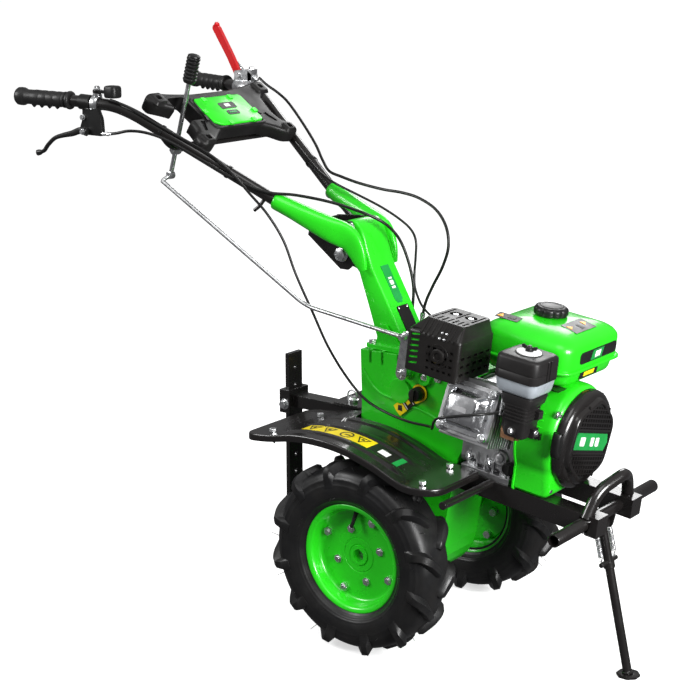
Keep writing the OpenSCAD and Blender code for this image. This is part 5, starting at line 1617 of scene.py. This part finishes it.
CABLES = {
    "clutch": (3.2, [(-634, 240, 1094), (-606, 235, 1079), (-566, 226, 1064), (-527, 214, 1046),
                     (-466, 188, 1008),
                     (-406, 160, 966), (-370, 140, 935), (-340, 126, 914), (-300, 118, 906), (-244, 108, 898),
                     (-176, 100, 892), (-124, 98, 890), (-78, 95, 883), (-32, 90, 864), (-3, 85, 832),
                     (7, 80, 792),
                     (-3, 75, 750), (-24, 70, 706), (-38, 66, 672), (-44, 62, 640)]),
    "stop": (2.6, [(-440, 131, 969), (-407, 119, 949), (-370, 105, 929), (-330, 88, 912), (-280, 72, 898),
                   (-220, 70, 880), (-161, 72, 860), (-114, 75, 838), (-82, 72, 819), (-68, 70, 796),
                   (-67, 68, 761),
                   (-68, 66, 729), (-62, 60, 700), (-44, 56, 668), (-20, 52, 650), (14, 40, 638),
                   (60, 10, 640)]),
    "reverse": (3.2, [(-656, -246, 1008), (-625, -243, 1011), (-590, -236, 1018), (-552, -222, 1015),
                      (-508, -205, 1000), (-440, -176, 962), (-380, -148, 926), (-320, -118, 900),
                      (-265, -84, 894),
                      (-194, -62, 884), (-137, -40, 868), (-104, -8, 847), (-90, 20, 822), (-80, 38, 792),
                      (-66, 46, 746), (-58, 48, 704), (-58, 47, 669), (-60, 47, 636)]),
    "throttle": (2.8, [(-640, -239, 1080), (-622, -237, 1076), (-594, -227, 1064), (-552, -208, 1038),
                       (-508, -190, 1014), (-440, -160, 976), (-384, -152, 940), (-338, -146, 898),
                       (-302, -132, 856),
                       (-276, -112, 800), (-251, -104, 732), (-212, -98, 656), (-172, -96, 586),
                       (-123, -96, 528),
                       (-74, -98, 490), (-19, -104, 474), (49, -120, 470), (122, -150, 480), (166, -206, 498),
                       (206, -252, 534), (252, -250, 548), (286, -228, 552), (299, -196, 550),
                       (301, -171, 548)]),
}


def cables():
    for name, (r, route) in CABLES.items():
        low = (-74, 0, 560) if name == "throttle" else (0, 0, 760)
        shape = Shape()
        shape.tube(spline(route, 7), r, 14)
        piece("cable_" + name, shape, MACHINE, "handlebar", cable_black,
              ["control_cables"], blend=(("chassis", "handlebar"), low, (-330, 0, 900)))
    # Adjusters where two of them end, and the clips round a tube and its cables.
    shape = Shape()
    for end, along in (((-44, 62, 640), (-0.12, -0.15, -1)), ((-60, 47, 636), (-0.06, 0, -1))):
        shape.lathe([(-8, 4.6), (-8, 5.4), (2, 5.4), (3, 4), (20, 3.6), (21, 6), (26, 6), (27, 3), (36, 2)],
                    end, along,
                    20)
    piece("cable_adjusters", shape, MACHINE, "chassis", zinc)
    shape = Shape()
    for at, side in ((0.34, -1), (0.30, 1), (0.80, -1)):
        centre = Vector(flip([TUBE_PATH[1]], side)[0]).lerp(Vector(flip([TUBE_PATH[2]], side)[0]), at)
        along = Vector(flip([TUBE_PATH[2]], side)[0]) - Vector(flip([TUBE_PATH[1]], side)[0])
        shape.lathe([(-3, 12.6), (-3, 14), (3, 14), (3, 12.6)], centre, along, 32, loop=True)
    piece("cable_clips", shape, MACHINE, "handlebar", part_black)


cables()

# ---- bumper, stand and hitch ----

def bumper():
    shape = Shape()
    shape.lathe([(-199, 10.5), (-199, 12.4), (-198.4, 13), (198.4, 13), (199, 12.4), (199, 10.5)],
                (436, 0, 327),
                (0, 1, 0), 40, loop=True)
    loop = rounded([(440, -84, 338), (450, -60, 388), (470, -6, 410), (470, 6, 410), (450, 60, 388),
                    (440, 84, 338)], 34, 8)
    shape.tube(loop, 12, 28)
    for s in (-1, 1):
        shape.prism(soften([(416, 322), (418, 296), (430, 288), (443, 294), (450, 322)], 5), s * 17 - 3,
                    s * 17 + 3, "xz",
                    bevel=0.8)
        # Weld beads at the loop's feet.
        shape.tube([(440 + 13 * math.cos(a), s * 84 + 13 * math.sin(a), 338 - 1 + 2 * math.sin(a))
                    for a in [math.radians(30 * k) for k in range(13)]], 2.4, 8)
    piece("bumper_bars", shape, MACHINE, "chassis", black, ["front_bumper"], angle=45)

    shape = Shape()
    top, low = Vector((430, 0, 302)), Vector((500, 0, 4))
    shape.tube([top, low], 9, 28)
    shape.lathe([(-13.4, 11), (-12.6, 12), (12.6, 12), (13.4, 11)], top, (0, 1, 0), 36)
    at = top + (low - top) * 0.25
    shape.rod(at - Vector((0, 31, 0)), at + Vector((0, 31, 0)), 5, 1)
    shape.rod(at, at + Vector((3, 0, -13)), 11.6, 1.2)
    foot = [(501 + 24 * math.cos(math.radians(22.5 + 45 * k)), 24 * math.sin(math.radians(22.5 + 45 * k)))
            for k in range(8)]
    shape.levels(foot, [(0, 0.8), (0.8, 0), (4, 0), (5, 1.2)])
    shape.rod((500, 0, 4.6), (499, 0, 10), 12, 2)
    piece("stand_bars", shape, MACHINE, "stand", black, ["stand_leg"], angle=40)

    shape = Shape()
    for s in (-1, 1):
        a, b = Vector((432, s * 26, 293)), Vector((446, s * 26, 236))
        along = (b - a).normalized()
        shape.helix(a + along * 6, b - along * 6, 4.4, 1.0, 17)
        shape.tube(rounded([a + along * 6 + Vector((4, 0, 0)), a + along * 2, a - along * 3,
                            a + Vector((-4, 0, 3))], 4),
                   1.0, 8)
        shape.tube(rounded([b - along * 6 + Vector((4, 0, 0)), b - along * 2, b + along * 3,
                            b + Vector((-4, 0, -2))], 4),
                   1.0, 8)
    piece("return_springs", shape, MACHINE, "chassis", zinc, ["stand_springs"],
          blend=(("chassis", "stand"), (432, 0, 293), (446, 0, 236)))


bumper()


def hitch_details():
    # Hitch pin with its ring, four socket bolts, and the drawbar's clamp screw.
    shape = Shape()
    shape.tube([(-180 + 12 * math.cos(a), -2, 458 + 12 * math.sin(a)) for a in
                [math.radians(-80 + 17 * k) for k in range(21)]], 1.8, 10)
    shape.lathe([(400, 8), (404, 8.4), (444.8, 8.2), (445, 13), (450, 13), (451, 10), (456, 7)], (-180, 0, 0),
                steps=40)
    for s in (-1, 1):
        shape.bolt((-113, s * 28, 452), (-1, 0, 0), 13, 5, washer=9)
        shape.bolt((-113, s * 28, 392), (-1, 0, 0), 13, 5, washer=9)
    piece("hitch_hardware", shape, MACHINE, "chassis", zinc)
    shape = Shape()
    shape.bolt((-343, -33, 418), (0, -1, 0), 16, 8, washer=12)
    piece("hitch_clamp_screw", shape, MACHINE, "hitch", zinc)


hitch_details()
